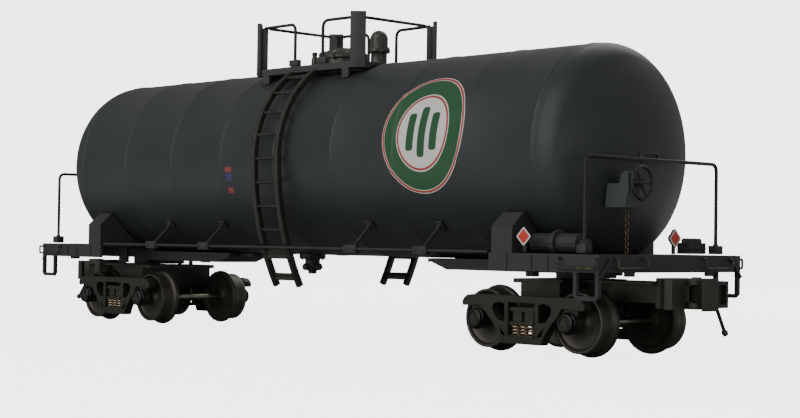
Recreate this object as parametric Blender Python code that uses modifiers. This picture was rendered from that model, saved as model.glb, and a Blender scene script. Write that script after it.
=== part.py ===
"""A 1:48 model of a railway tank car, in metres, with +Z up.

+X points to the end with the brake wheel, called "b" (the other is "a"), and -Y to the near side.
Z is zero at the bottom of the wheel flanges, and the heights build up from there: wheels, trucks,
sills, decks, tank, top platform.
"""
import math

import bmesh
import bpy
from mathutils import Matrix, Vector

# Fits and small things used all over
FIT = 0.0003
SINK = 0.0004
OVERRUN = 0.0020
WIRE_RADIUS = 0.0004
WIRE_BEND = 0.0020
MERGE = 0.00001

# Sides of the round pieces
TANK_SIDES = 36
ROUND_SIDES = 20
SMALL_SIDES = 8
ROD_SIDES = 4
WIRE_SIDES = 6
WHEEL_SIDES = 20
SPRING_STEPS = 8
BEARING_SIDES = 16
PIN_SIDES = 10
VALVE_SIDES = 16
MANWAY_SIDES = 28

# Wheelsets
WHEELBASE = 0.0370
TRUCK_CENTRES = 0.2190
TREAD_RADIUS = 0.0093
FLANGE_HEIGHT = 0.0012
FLANGE_WIDTH = 0.0013
WHEEL_BACK_HALF = 0.0136
WHEEL_WIDTH = 0.0072
RIM_THICKNESS = 0.0009
WEB_RECESS = 0.0016
HUB_RADIUS = 0.0026
HUB_PROUD = 0.0003
AXLE_RADIUS = 0.0014
JOURNAL_RADIUS = 0.0010
JOURNAL_LENGTH = 0.0030
AXLE_HEIGHT = TREAD_RADIUS + FLANGE_HEIGHT
WHEEL_FACE = WHEEL_BACK_HALF + WHEEL_WIDTH

# Sideframes, with heights from the axle
SIDEFRAME_FACE = 0.0255
SIDEFRAME_THICKNESS = 0.0034
SIDEFRAME_RISE = 0.0076
SIDEFRAME_DROP = 0.0071
CHORD_HEIGHT = 0.0020
COLUMN_WIDTH = 0.0015
SIDEFRAME_TOP = AXLE_HEIGHT + SIDEFRAME_RISE
CHORD_TOP = AXLE_HEIGHT - SIDEFRAME_DROP + CHORD_HEIGHT

# Bearings
BEARING_RADIUS = 0.0031
BEARING_CAP_RADIUS = 0.0027
BEARING_CAP_DEPTH = 0.0010
BEARING_FACE = 0.0269
BEARING_BOSS_RADIUS = 0.0020
BEARING_BOSS_DEPTH = 0.0004
ADAPTER_HALF_LENGTH = 0.0030
ADAPTER_INSET = 0.0009
ADAPTER_SINK = 0.0007
ADAPTER_RISE = 0.0015

# Bolsters, springs and the plate over each truck
BOLSTER_HALF_LENGTH = 0.0051
BOLSTER_UNDER_AXLE = 0.0006
BOLSTER_OVER_AXLE = 0.0041
BOLSTER_END = 0.0235
BOLSTER_RIB_PROUD = 0.0010
BOLSTER_FLANGE_PROUD = 0.0014
BOLSTER_FLANGE_THICKNESS = 0.0013
BOLSTER_HEADROOM = 0.0014
BOX_WHEEL_GAP = 0.0001
BOX_FACE_INSET = 0.0086
BOX_RISE = 0.0041
SPRING_RADIUS = 0.0015
SPRING_PITCH = 0.0033
SPRING_TURNS = 4
PLATE_THICKNESS = 0.0010
BEAM_RADIUS = 0.0007
BEAM_WHEEL_GAP = 0.0010
BEAM_DROP = 0.0034
BEAM_HANGER_INSET = 0.0046
PLATE_INSET = 0.0009
PLATE_OVERHANG = 0.0040
TONGUE_HALF_WIDTH = 0.0065
BOLSTER_BOTTOM = AXLE_HEIGHT - BOLSTER_UNDER_AXLE
BOLSTER_TOP = AXLE_HEIGHT + BOLSTER_OVER_AXLE
BOX_TOP = SIDEFRAME_TOP + BOX_RISE
TRUCK_TOP = BOX_TOP + PLATE_THICKNESS
BOX_HALF_LENGTH = WHEELBASE / 2 - AXLE_HEIGHT - BOX_WHEEL_GAP
BOX_HALF_WIDTH = SIDEFRAME_FACE - BOX_FACE_INSET
PLATE_HALF_WIDTH = BOX_HALF_WIDTH - PLATE_INSET
PLATE_BACK = BOX_HALF_LENGTH + PLATE_OVERHANG
BEAM_FROM_CENTRE = BOX_HALF_LENGTH + BEAM_RADIUS
BEAM_HALF_LENGTH = WHEEL_BACK_HALF - BEAM_WHEEL_GAP

# Couplers, measured from the truck's centre pin, with the knuckle to the left of an outward look
COUPLER_PROUD = 0.0012
COUPLER_DEPTH = 0.0092
COUPLER_TOP = TRUCK_TOP + COUPLER_PROUD
COUPLER_CENTRE = COUPLER_TOP - COUPLER_DEPTH / 2
SHANK_HALF_WIDTH = 0.0032
SHANK_DEPTH = 0.0054
KNUCKLE_PIN_X = 0.0431
KNUCKLE_PIN_Y = 0.0044
HEAD_LENGTH = 0.0086
THROAT_DEPTH = 0.0033
GUARD_PROUD = 0.0004
GUARD_OUTER = 0.0083
GUARD_INNER = 0.0015
COUPLER_BACK = KNUCKLE_PIN_X - HEAD_LENGTH
THROAT = KNUCKLE_PIN_X - THROAT_DEPTH
GUARD_FACE = KNUCKLE_PIN_X + GUARD_PROUD
PIN_RADIUS = 0.0010
LUG_RADIUS = 0.0036
LUG_THICKNESS = 0.0019
BARREL_RADIUS = 0.0022
KNUCKLE_DEPTH = 0.0096
KNUCKLE_BACK = 0.0050
KNUCKLE_FRONT = 0.0086
NOSE_REACH = 0.0080
WING_REACH = 0.0048
WING_DROP = 0.0008
WING_RECESS = 0.0012
WING_RIM = 0.0011
WING_SETBACK = 0.0006
HOSE_INSET = 0.0016
HOSE_RADIUS = 0.0006
HOSE_BULB_RADIUS = 0.0012
HOSE_DROP = 0.0066
HOSE_SWEEP = 0.0046

# Tank
TANK_RADIUS = 0.0340
TANK_COURSES = 8
TANK_COURSE = 0.0300
TANK_HEAD_STRIP = 0.0020
TANK_BARREL = TANK_COURSES * TANK_COURSE + TANK_HEAD_STRIP * 2
SEAM_WIDTH = 0.0006
SEAM_HEIGHT = 0.0002
HEAD_KNUCKLE_RADIUS = 0.0090
HEAD_CROWN_RADIUS = 0.0600
HEAD_CROWN_DROP = math.sqrt((HEAD_CROWN_RADIUS - HEAD_KNUCKLE_RADIUS) ** 2
                            - (TANK_RADIUS - HEAD_KNUCKLE_RADIUS) ** 2)
TANK_END = TANK_BARREL / 2 + HEAD_CROWN_RADIUS - HEAD_CROWN_DROP

# End handrails, whose place sets the decks' ends
HANDRAIL_TANK_GAP = 0.0021
HANDRAIL_FROM_END = 0.0075
HANDRAIL_X = TANK_END + HANDRAIL_TANK_GAP

# Centre plates, sills and decks
CENTRE_PLATE_RADIUS = 0.0045
CENTRE_PLATE_HEIGHT = 0.0018
SILL_BOTTOM = TRUCK_TOP + CENTRE_PLATE_HEIGHT
SILL_HALF_WIDTH = 0.0095
SILL_REACH = 0.0426
SILL_TAPER = 0.0070
SILL_BLOCK_PAST_TRUCK = 0.0089
SILL_TAB_LENGTH = 0.0074
SILL_TAB_THICKNESS = 0.0014
SILL_TAB_HALF_WIDTH = 0.0040
DECK_SIDE_PROUD = 0.0010
DECK_HALF_WIDTH = TANK_RADIUS + DECK_SIDE_PROUD
DECK_END = HANDRAIL_X + HANDRAIL_FROM_END
DECK_LENGTH = 0.0426
DECK_INNER_END = DECK_END - DECK_LENGTH
SILL_INNER_END = DECK_INNER_END - SILL_REACH
DECK_RISE = 0.0062
DECK_DEPTH = 0.0052
DECK_TOP = SILL_BOTTOM + DECK_RISE
DECK_BOTTOM = DECK_TOP - DECK_DEPTH
DECK_PLATE = 0.0010
DECK_RIB_WIDTH = 0.0006
DECK_RIB_PROUD = 0.0003
RIB_STATION_SHARES = (0.17, 0.40, 0.55)
PAD_RADIUS = 0.0021
PAD_FROM_SIDE = 0.0145
PAD_DROP = 0.0020
SILL_BLOCK_FROM_SIDE = 0.0152
SILL_BLOCK_WIDTH = 0.0039
SILL_BLOCK_DROP = 0.0012
TANK_SUNK = 0.0025
TANK_AXIS_HEIGHT = DECK_TOP + TANK_RADIUS - TANK_SUNK
TANK_BOTTOM = TANK_AXIS_HEIGHT - TANK_RADIUS
TANK_TOP = TANK_AXIS_HEIGHT + TANK_RADIUS

# Saddles
SADDLE_LENGTH = 0.0084
SADDLE_WALL_HEIGHT = 0.0079
SADDLE_RIDGE_INSET = 0.0055
SADDLE_RIDGE_HEIGHT = 0.0124
SADDLE_OUTER = TRUCK_CENTRES / 2 + SADDLE_LENGTH / 2

# Top platform
PLATFORM_HALF_LENGTH = 0.0280
PLATFORM_WIDTH_SHARE = 0.588
PLATFORM_HALF_WIDTH = TANK_RADIUS * PLATFORM_WIDTH_SHARE
PLATFORM_SUNK = 0.0004
PLATFORM_DEPTH = 0.0024
PLATFORM_TOP = TANK_TOP - PLATFORM_SUNK
PLATFORM_BOTTOM = PLATFORM_TOP - PLATFORM_DEPTH
PLATFORM_WALK = 0.0070
PLATFORM_CORNER_CUT = 0.0040
RAIL_RISE = 0.0155
POST_RISE = 0.0171
POST_WIDTH = 0.0055
POST_THICKNESS = 0.0016
POST_CORNER_CUT = 0.0006
POST_WEB = 0.0022
POST_WEB_THICKNESS = 0.0016
RAIL_TOP = PLATFORM_TOP + RAIL_RISE
POST_TOP = PLATFORM_TOP + POST_RISE

COLLECTION = "railway_tank_car_model"


def clear_scene():
    for old in list(bpy.data.objects):
        bpy.data.objects.remove(old)


def make_collection():
    home = bpy.data.collections.new(COLLECTION)
    bpy.context.scene.collection.children.link(home)
    return home


clear_scene()
HOME = make_collection()


def finish(name, colour, roughness, metallic):
    made = bpy.data.materials.new(name)
    made.use_nodes = True
    shader = made.node_tree.nodes["Principled BSDF"]
    shader.inputs["Base Color"].default_value = (*colour, 1)
    shader.inputs["Roughness"].default_value = roughness
    shader.inputs["Metallic"].default_value = metallic
    made.diffuse_color = (*colour, 1)
    return made


TANK_PAINT = finish("tank_paint", (0.036, 0.044, 0.047), 0.45, 0)
DECK_PAINT = finish("deck_paint", (0.040, 0.040, 0.043), 0.55, 0)
FITTING_PAINT = finish("fitting_paint", (0.030, 0.031, 0.026), 0.5, 0)
TRUCK_CASTING = finish("truck_casting", (0.022, 0.022, 0.018), 0.5, 0.3)
WHEEL_METAL = finish("wheel_metal", (0.060, 0.050, 0.040), 0.45, 0.8)
AXLE_STEEL = finish("axle_steel", (0.45, 0.43, 0.40), 0.3, 1)
SPRING_BRONZE = finish("spring_bronze", (0.85, 0.55, 0.35), 0.25, 1)
PLACARD_FACE = finish("placard_face", (0.62, 0.05, 0.03), 0.5, 0)
VALVE_PEWTER = finish("valve_pewter", (0.13, 0.12, 0.105), 0.5, 0.2)


# Scratch shapes: each returns an object that is later joined into a named piece

def scratch(mesh):
    made = bpy.data.objects.new("scratch", mesh)
    HOME.objects.link(made)
    return made


def from_bmesh(shape):
    mesh = bpy.data.meshes.new("scratch")
    bmesh.ops.triangulate(shape, faces=shape.faces)
    bmesh.ops.recalc_face_normals(shape, faces=shape.faces)
    shape.to_mesh(mesh)
    shape.free()
    return scratch(mesh)


def box(x_range, y_range, z_range):
    lows, highs = zip(*[sorted(span) for span in (x_range, y_range, z_range)])
    size = [high - low for low, high in zip(lows, highs)]
    middle = [(high + low) / 2 for low, high in zip(lows, highs)]
    shape = bmesh.new()
    bmesh.ops.create_cube(shape, size=1)
    place = Matrix.Translation(middle) @ Matrix.Diagonal((*size, 1))
    bmesh.ops.transform(shape, matrix=place, verts=shape.verts)
    return from_bmesh(shape)


def around(middle, width):
    """The low and high ends of a width about a middle."""
    return middle - width / 2, middle + width / 2


def cylinder(start, end, radius, end_radius=None, sides=ROUND_SIDES):
    start, end = Vector(start), Vector(end)
    along = end - start
    turn = along.to_track_quat("Z", "Y").to_matrix().to_4x4()
    shape = bmesh.new()
    bmesh.ops.create_cone(
        shape, cap_ends=True, segments=sides, radius1=radius,
        radius2=radius if end_radius is None else end_radius, depth=along.length)
    bmesh.ops.transform(shape, matrix=Matrix.Translation((start + end) / 2) @ turn, verts=shape.verts)
    return from_bmesh(shape)


def ball(centre, radius):
    shape = bmesh.new()
    bmesh.ops.create_icosphere(shape, subdivisions=1, radius=radius)
    bmesh.ops.transform(shape, matrix=Matrix.Translation(centre), verts=shape.verts)
    return from_bmesh(shape)


def as_mesh(curve_object):
    """Turns a curve object into a closed mesh object in the same place."""
    bpy.context.view_layer.update()
    graph = bpy.context.evaluated_depsgraph_get()
    mesh = bpy.data.meshes.new_from_object(curve_object.evaluated_get(graph))
    shape = bmesh.new()
    shape.from_mesh(mesh)
    bmesh.ops.transform(shape, matrix=curve_object.matrix_world, verts=shape.verts)
    bmesh.ops.remove_doubles(shape, verts=shape.verts, dist=MERGE)
    curve = curve_object.data
    bpy.data.objects.remove(curve_object)
    bpy.data.curves.remove(curve)
    bpy.data.meshes.remove(mesh)
    return from_bmesh(shape)


def tube(points, radius=WIRE_RADIUS, detail=0):
    """A wire along straight lines between points: square with a detail of 0, round with 1."""
    curve = bpy.data.curves.new("scratch", "CURVE")
    curve.dimensions = "3D"
    curve.bevel_depth = radius
    curve.bevel_resolution = detail
    curve.use_fill_caps = True
    line = curve.splines.new("POLY")
    line.points.add(len(points) - 1)
    for knot, place in zip(line.points, points):
        knot.co = (*place, 1)
    made = bpy.data.objects.new("scratch", curve)
    HOME.objects.link(made)
    return as_mesh(made)


BEND_SHARES = (0, 0.33, 0.67, 1)


def bent(points, bend):
    """The same line of points with each inner corner cut by an arc of a bend's length."""
    line = [Vector(points[0])]
    for before, corner, after in zip(points, points[1:], points[2:]):
        corner = Vector(corner)
        start = corner + (Vector(before) - corner).normalized() * bend
        end = corner + (Vector(after) - corner).normalized() * bend
        for share in BEND_SHARES:
            line.append(start * (1 - share) ** 2 + corner * 2 * share * (1 - share) + end * share ** 2)
    line.append(Vector(points[-1]))
    return line


PLANES = {
    "xy": Matrix(((1, 0, 0, 0), (0, 1, 0, 0), (0, 0, 1, 0), (0, 0, 0, 1))),
    "xz": Matrix(((1, 0, 0, 0), (0, 0, 1, 0), (0, 1, 0, 0), (0, 0, 0, 1))),
    "yz": Matrix(((0, 0, 1, 0), (1, 0, 0, 0), (0, 1, 0, 0), (0, 0, 0, 1))),
}


def slab(outlines, plane, low, high):
    """A flat outline, with any holes after it, drawn in a plane and extruded from low to high."""
    low, high = sorted((low, high))
    curve = bpy.data.curves.new("scratch", "CURVE")
    curve.dimensions = "2D"
    curve.fill_mode = "BOTH"
    curve.extrude = (high - low) / 2
    for outline in outlines:
        line = curve.splines.new("POLY")
        line.points.add(len(outline) - 1)
        line.use_cyclic_u = True
        for knot, place in zip(line.points, outline):
            knot.co = (*place, 0, 1)
    made = bpy.data.objects.new("scratch", curve)
    HOME.objects.link(made)
    made.matrix_world = PLANES[plane] @ Matrix.Translation((0, 0, (low + high) / 2))
    return as_mesh(made)


AXES = {
    "x": Matrix(((0, 0, 1, 0), (0, 1, 0, 0), (-1, 0, 0, 0), (0, 0, 0, 1))),
    "y": Matrix(((1, 0, 0, 0), (0, 0, 1, 0), (0, -1, 0, 0), (0, 0, 0, 1))),
    "z": Matrix.Identity(4),
}


def turned(profile, axis, centre, sides=ROUND_SIDES):
    """A profile of (radius, height), from top to bottom, turned about an axis through a centre."""
    mesh = bpy.data.meshes.new("scratch")
    mesh.from_pydata([(radius, 0, height) for radius, height in profile],
                     [(index, index + 1) for index in range(len(profile) - 1)], [])
    made = scratch(mesh)
    screw = made.modifiers.new("turn", "SCREW")
    screw.steps = sides
    screw.render_steps = sides
    screw.use_merge_vertices = True
    screw.merge_threshold = MERGE
    made.matrix_world = Matrix.Translation(centre) @ AXES[axis]
    return applied(made)


def upside_down(profile):
    """The same profile seen from the other end of its axis."""
    return [(radius, -height) for radius, height in reversed(profile)]


def applied(made):
    """The same object with its modifiers and its place worked into its mesh."""
    bpy.context.view_layer.update()
    graph = bpy.context.evaluated_depsgraph_get()
    mesh = bpy.data.meshes.new_from_object(made.evaluated_get(graph))
    mesh.transform(made.matrix_world)
    old = made.data
    made.modifiers.clear()
    made.matrix_world = Matrix.Identity(4)
    made.data = mesh
    bpy.data.meshes.remove(old)
    return made


def combine(piece, others, operation):
    for other in others:
        step = piece.modifiers.new(operation.lower(), "BOOLEAN")
        step.operation = operation
        step.solver = "EXACT"
        step.object = other
        applied(piece)
        bpy.data.objects.remove(other)
    return piece


def fuse(pieces):
    return combine(pieces[0], pieces[1:], "UNION")


def cut(piece, cutters):
    return combine(piece, cutters, "DIFFERENCE")


def name_piece(made, name, material, parent=None):
    made.name = name
    made.data.name = name
    made.data.materials.clear()
    made.data.materials.append(material)
    made.data.shade_smooth()
    made.data.set_sharp_from_angle(angle=math.radians(35))
    if parent is not None:
        hang(made, parent)
    return made


def hang(made, parent):
    """Parents an object and keeps it where it is."""
    bpy.context.view_layer.update()
    made.parent = parent
    made.matrix_parent_inverse = parent.matrix_world.inverted()


def pivot(name, place, parent=None):
    made = bpy.data.objects.new(name, None)
    made.location = place
    HOME.objects.link(made)
    if parent is not None:
        hang(made, parent)
    bpy.context.view_layer.update()
    return made


def mirrored(half):
    """A whole outline from its half at positive first coordinates."""
    return half + [(-first, second) for first, second in reversed(half)]


def shifted(outline, first_step, second_step=0):
    return [(first + first_step, second + second_step) for first, second in outline]


def arc(centre, radius, start, end, steps):
    """Points of an arc, angles in degrees, both ends included."""
    return [(centre[0] + radius * math.cos(math.radians(start + (end - start) * step / steps)),
             centre[1] + radius * math.sin(math.radians(start + (end - start) * step / steps)))
            for step in range(steps + 1)]


def flipped(made):
    """Turns a scratch shape half round the vertical, from the brake-wheel end to the other one."""
    made.data.transform(Matrix.Rotation(math.pi, 4, "Z"))
    return made


def kept(made):
    return made


# Tank

HEAD_STEPS = 4
BRAKE_FRAME_Y = (-0.0040, 0.0055)
BRAKE_FRAME_DROP = 0.0038
BRAKE_FRAME_BAR = 0.0011
BRAKE_FRAME_PROUD = 0.0006
BRAKE_FRAME_ROOM = 0.0040


def head_profile(radius_at_rim):
    """From the pole of a dished head to its rim: a crown arc, then a knuckle arc."""
    knuckle_centre = radius_at_rim - HEAD_KNUCKLE_RADIUS
    crown_centre = -math.sqrt((HEAD_CROWN_RADIUS - HEAD_KNUCKLE_RADIUS) ** 2 - knuckle_centre ** 2)
    meet = math.degrees(math.atan2(-crown_centre, knuckle_centre))
    crown = arc((0, crown_centre), HEAD_CROWN_RADIUS, 90, meet, HEAD_STEPS)
    crown[0] = (0, crown[0][1])
    knuckle = arc((knuckle_centre, 0), HEAD_KNUCKLE_RADIUS, meet, 0, HEAD_STEPS)
    return crown + knuckle[1:]


def tank_profile():
    half = TANK_BARREL / 2
    top = [(radius, half + height) for radius, height in head_profile(TANK_RADIUS)]
    seams = []
    for index in range(TANK_COURSES + 1):
        height = TANK_COURSE * (TANK_COURSES / 2 - index)
        for shift, proud in ((SEAM_WIDTH / 2, 0), (0, SEAM_HEIGHT), (-SEAM_WIDTH / 2, 0)):
            seams.append((TANK_RADIUS + proud, height + shift))
    return top + seams + upside_down(top)


def tank_room(clearance=FIT):
    """A cutter that keeps the tank and a clearance free."""
    half = TANK_BARREL / 2
    reach = TANK_RADIUS + SEAM_HEIGHT + clearance
    top = [(radius, half + height + clearance) for radius, height in head_profile(reach)]
    return turned(top + upside_down(top), "x", (0, 0, TANK_AXIS_HEIGHT), TANK_SIDES)


def head_frame():
    """The small raised frame on the brake-wheel end's head, above the axis's height."""
    low, high = BRAKE_FRAME_Y
    top = TANK_AXIS_HEIGHT
    bottom = top - BRAKE_FRAME_DROP
    bar = BRAKE_FRAME_BAR
    start = TANK_BARREL / 2
    ring = slab([[(low, bottom), (high, bottom), (high, top), (low, top)],
                 [(low + bar, bottom + bar), (high - bar, bottom + bar),
                  (high - bar, top - bar), (low + bar, top - bar)]],
                "yz", start + BRAKE_FRAME_ROOM, TANK_END + OVERRUN)
    return combine(ring, [tank_room(BRAKE_FRAME_PROUD)], "INTERSECT")


def make_tank():
    tank = turned(tank_profile(), "x", (0, 0, TANK_AXIS_HEIGHT), TANK_SIDES)
    name_piece(fuse([tank, head_frame()]), "tank", TANK_PAINT)


# End decks

STEP_WIDTH = 0.0094
STEP_DROP = 0.0081
STEP_BAR = 0.0013
STEP_CORNER = 0.0012
GRAB_HALF_WIDTH = 0.0068
GRAB_DROP = 0.0028
GRAB_STAND = 0.0016
GRAB_TOP_INSET = 0.0012
END_GRAB_CENTRES = (-0.0210, 0.0218)
SIDE_GRAB_FROM_END = 0.0072
BRACE_Y = 0.0296
BRACE_REACH = 0.0050
BRACE_DROP = 0.0054
BRACE_RADIUS = 0.0005


def deck_shape():
    wall = DECK_PLATE
    half = DECK_HALF_WIDTH
    deck = box((DECK_INNER_END, DECK_END), (-half, half), (DECK_BOTTOM, DECK_TOP))
    inside = box((DECK_INNER_END - OVERRUN, DECK_END - wall), (wall - half, half - wall),
                 (DECK_BOTTOM - OVERRUN, DECK_TOP - wall))
    return cut(deck, [inside, tank_room()])


def saddle_shape():
    """The web that stands on the deck over the truck and cradles the tank."""
    centre = TRUCK_CENTRES / 2
    wall = DECK_HALF_WIDTH - FIT
    outline = mirrored([(wall, DECK_TOP - SINK), (wall, DECK_TOP + SADDLE_WALL_HEIGHT),
                        (DECK_HALF_WIDTH - SADDLE_RIDGE_INSET, DECK_TOP + SADDLE_RIDGE_HEIGHT)])
    return slab([outline], "yz", *around(centre, SADDLE_LENGTH))


def sill_step(side):
    """A strap stirrup below the deck's corner, with rounded lower corners."""
    x_high = DECK_END
    x_low = x_high - STEP_WIDTH
    z_high = DECK_BOTTOM + SINK
    z_low = DECK_BOTTOM - STEP_DROP
    bar, corner = STEP_BAR, STEP_CORNER
    outline = [(x_low, z_high), (x_low, z_low + corner), (x_low + corner, z_low), (x_high - corner, z_low),
               (x_high, z_low + corner), (x_high, z_high), (x_high - bar, z_high),
               (x_high - bar, z_low + corner), (x_high - corner, z_low + bar), (x_low + corner, z_low + bar),
               (x_low + bar, z_low + corner), (x_low + bar, z_high)]
    return slab([outline], "xz", side * (DECK_HALF_WIDTH - bar), side * DECK_HALF_WIDTH)


def grab_iron(centre, along, outward):
    """A drop grab iron: two legs from the face, and a bar that hangs a little lower."""
    centre, along, outward = Vector(centre), Vector(along), Vector(outward)
    reach = along * GRAB_HALF_WIDTH
    drop = Vector((0, 0, -GRAB_DROP))
    stand = outward * GRAB_STAND
    inside = -outward * SINK
    return tube([centre - reach + inside, centre - reach + stand, centre - reach + stand + drop,
                 centre + reach + stand + drop, centre + reach + stand, centre + reach + inside])


def step_brace(side):
    """A rod from the end sill out and down to the side of the step."""
    top = DECK_TOP - GRAB_TOP_INSET
    return tube([(DECK_END - SINK, side * BRACE_Y, top), (DECK_END + BRACE_RADIUS, side * BRACE_Y, top),
                 (DECK_END + BRACE_RADIUS, side * (BRACE_Y + BRACE_REACH), top - BRACE_DROP),
                 (DECK_END - SINK, side * (BRACE_Y + BRACE_REACH), top - BRACE_DROP)], BRACE_RADIUS)


def make_deck(name, turn):
    top = DECK_TOP - GRAB_TOP_INSET
    centre = TRUCK_CENTRES / 2
    pad_y = DECK_HALF_WIDTH - PAD_FROM_SIDE
    pieces = [deck_shape(), cut(saddle_shape(), [tank_room()])]
    for side in (-1, 1):
        pieces.append(sill_step(side))
        pieces.append(step_brace(side))
        pieces.append(grab_iron((DECK_END - SIDE_GRAB_FROM_END, side * DECK_HALF_WIDTH, top),
                                (1, 0, 0), (0, side, 0)))
        for share in RIB_STATION_SHARES:
            middle = DECK_INNER_END + share * (DECK_END - DECK_INNER_END)
            pieces.append(box(around(middle, DECK_RIB_WIDTH),
                              (side * (DECK_HALF_WIDTH - SINK), side * (DECK_HALF_WIDTH + DECK_RIB_PROUD)),
                              (DECK_BOTTOM + SINK, DECK_TOP - SINK)))
        pieces.append(cylinder((centre, side * pad_y, DECK_BOTTOM - PAD_DROP),
                               (centre, side * pad_y, DECK_TOP - DECK_PLATE / 2), PAD_RADIUS,
                               sides=SMALL_SIDES))
        pieces.append(box((DECK_END - DECK_PLATE - SINK, DECK_END - FIT),
                          around(side * (DECK_HALF_WIDTH - SILL_BLOCK_FROM_SIDE), SILL_BLOCK_WIDTH),
                          (DECK_BOTTOM - SILL_BLOCK_DROP, DECK_BOTTOM + SINK)))
    for middle in END_GRAB_CENTRES:
        pieces.append(grab_iron((DECK_END, middle, top), (0, 1, 0), (1, 0, 0)))
    name_piece(turn(fuse(pieces)), name, DECK_PAINT)


# Sills under the tank

def make_stub_sill(name, turn):
    """A sill from under the tank to the end sill, with a low bearing block over the truck's outer half."""
    end = DECK_END - DECK_PLATE - FIT
    under = DECK_TOP - DECK_PLATE - FIT
    tab_bottom = TANK_BOTTOM - SILL_TAB_THICKNESS
    slope_end = SILL_INNER_END - SILL_TAPER
    centre = TRUCK_CENTRES / 2
    block_end = centre + SILL_BLOCK_PAST_TRUCK
    block_low = TRUCK_TOP + FIT
    side_view = [(end, under), (end, DECK_BOTTOM), (block_end, DECK_BOTTOM), (block_end, block_low),
                 (centre, block_low), (centre, SILL_BOTTOM), (SILL_INNER_END, SILL_BOTTOM),
                 (slope_end, tab_bottom), (slope_end, TANK_BOTTOM), (DECK_INNER_END - FIT, TANK_BOTTOM),
                 (DECK_INNER_END - FIT, under)]
    sill = slab([side_view], "xz", -SILL_HALF_WIDTH, SILL_HALF_WIDTH)
    tab = box((slope_end - SILL_TAB_LENGTH, slope_end + SINK), around(0, SILL_TAB_HALF_WIDTH * 2),
              (tab_bottom, TANK_BOTTOM))
    plate = cylinder((centre, 0, block_low), (centre, 0, SILL_BOTTOM + SINK), CENTRE_PLATE_RADIUS)
    name_piece(turn(cut(fuse([sill, tab, plate]), [tank_room()])), name, DECK_PAINT)


# End handrails

HANDRAIL_RISE = 0.0286
HANDRAIL_SIDE_INSET = 0.0027
HANDRAIL_BLOCK = 0.0034
HANDRAIL_BLOCK_HEIGHT = 0.0027
HANDRAIL_WIRE = 0.0005


def make_end_handrail(name, turn):
    x = HANDRAIL_X
    low = DECK_TOP + FIT
    top = DECK_TOP + HANDRAIL_RISE
    half = DECK_HALF_WIDTH - HANDRAIL_SIDE_INSET
    foot = low + HANDRAIL_BLOCK_HEIGHT - SINK
    pieces = [tube(bent([(x, -half, foot), (x, -half, top), (x, half, top), (x, half, foot)], WIRE_BEND),
                   HANDRAIL_WIRE, 1)]
    for side in (-1, 1):
        pieces.append(box(around(x, HANDRAIL_BLOCK), around(side * half, HANDRAIL_BLOCK),
                          (low, low + HANDRAIL_BLOCK_HEIGHT)))
    name_piece(turn(fuse(pieces)), name, FITTING_PAINT)


# Placards

PLACARD_HALF_WIDTH = 0.0031
PLACARD_HALF_HEIGHT = 0.0031
PLACARD_THICKNESS = 0.0008
PLACARD_CENTRE_RISE = 0.0050
PLACARD_POST = 0.0012
SIDE_PLACARD_FROM_SADDLE = 0.0043
SIDE_PLACARD_INSET = 0.0006
END_PLACARD_Y = 0.0027
END_PLACARD_FROM_END = 0.0012


def make_placards(end, turn):
    """Square plates on edge, each on a short post that stands on the deck."""
    centre = DECK_TOP + PLACARD_CENTRE_RISE
    foot = DECK_TOP + FIT
    thick = PLACARD_THICKNESS
    diamond = [(0, centre - PLACARD_HALF_HEIGHT), (PLACARD_HALF_WIDTH, centre),
               (0, centre + PLACARD_HALF_HEIGHT), (-PLACARD_HALF_WIDTH, centre)]
    face = SIDE_PLACARD_INSET - DECK_HALF_WIDTH
    x = SADDLE_OUTER + SIDE_PLACARD_FROM_SADDLE
    plate = slab([shifted(diamond, x)], "xz", face, face + thick)
    post = box(around(x, PLACARD_POST), (face + SINK, face + thick + SINK), (foot, centre))
    name_piece(turn(fuse([plate, post])), "placard_side_" + end, PLACARD_FACE)
    front = DECK_END - END_PLACARD_FROM_END
    plate = slab([shifted(diamond, END_PLACARD_Y)], "yz", front - thick, front)
    post = box((front - thick - SINK, front - SINK), around(END_PLACARD_Y, PLACARD_POST), (foot, centre))
    name_piece(turn(fuse([plate, post])), "placard_end_" + end, PLACARD_FACE)


# Brake gear on the brake-wheel end

BRAKE_WHEEL_Y = -0.0130
BRAKE_WHEEL_RISE = 0.0212
BRAKE_WHEEL_RADIUS = 0.0053
BRAKE_RIM_RADIUS = 0.0005
BRAKE_RIM_STEPS = 5
BRAKE_SPOKES = 6
BRAKE_HUB_RADIUS = 0.0011
BRAKE_SPOKE_RADIUS = 0.0004
BRAKE_FACE_FROM_END = 0.0018
HOUSING_HALF_WIDTH = 0.0033
HOUSING_FROM_END = 0.0132
HOUSING_LENGTH = 0.0089
HOUSING_RISE = 0.0138
HOUSING_HEIGHT = 0.0110
HOUSING_SHELF_SHARES = ((0, 0), (0.07, 0.67), (0.58, 0.67), (0.66, 0.92), (0.82, 1), (0.96, 0.96),
                        (1, 0.5), (0.9, 0.2), (0.88, 0))
CHAIN_RADIUS = 0.0007
CHAIN_FROM_BACK = 0.0059


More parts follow.
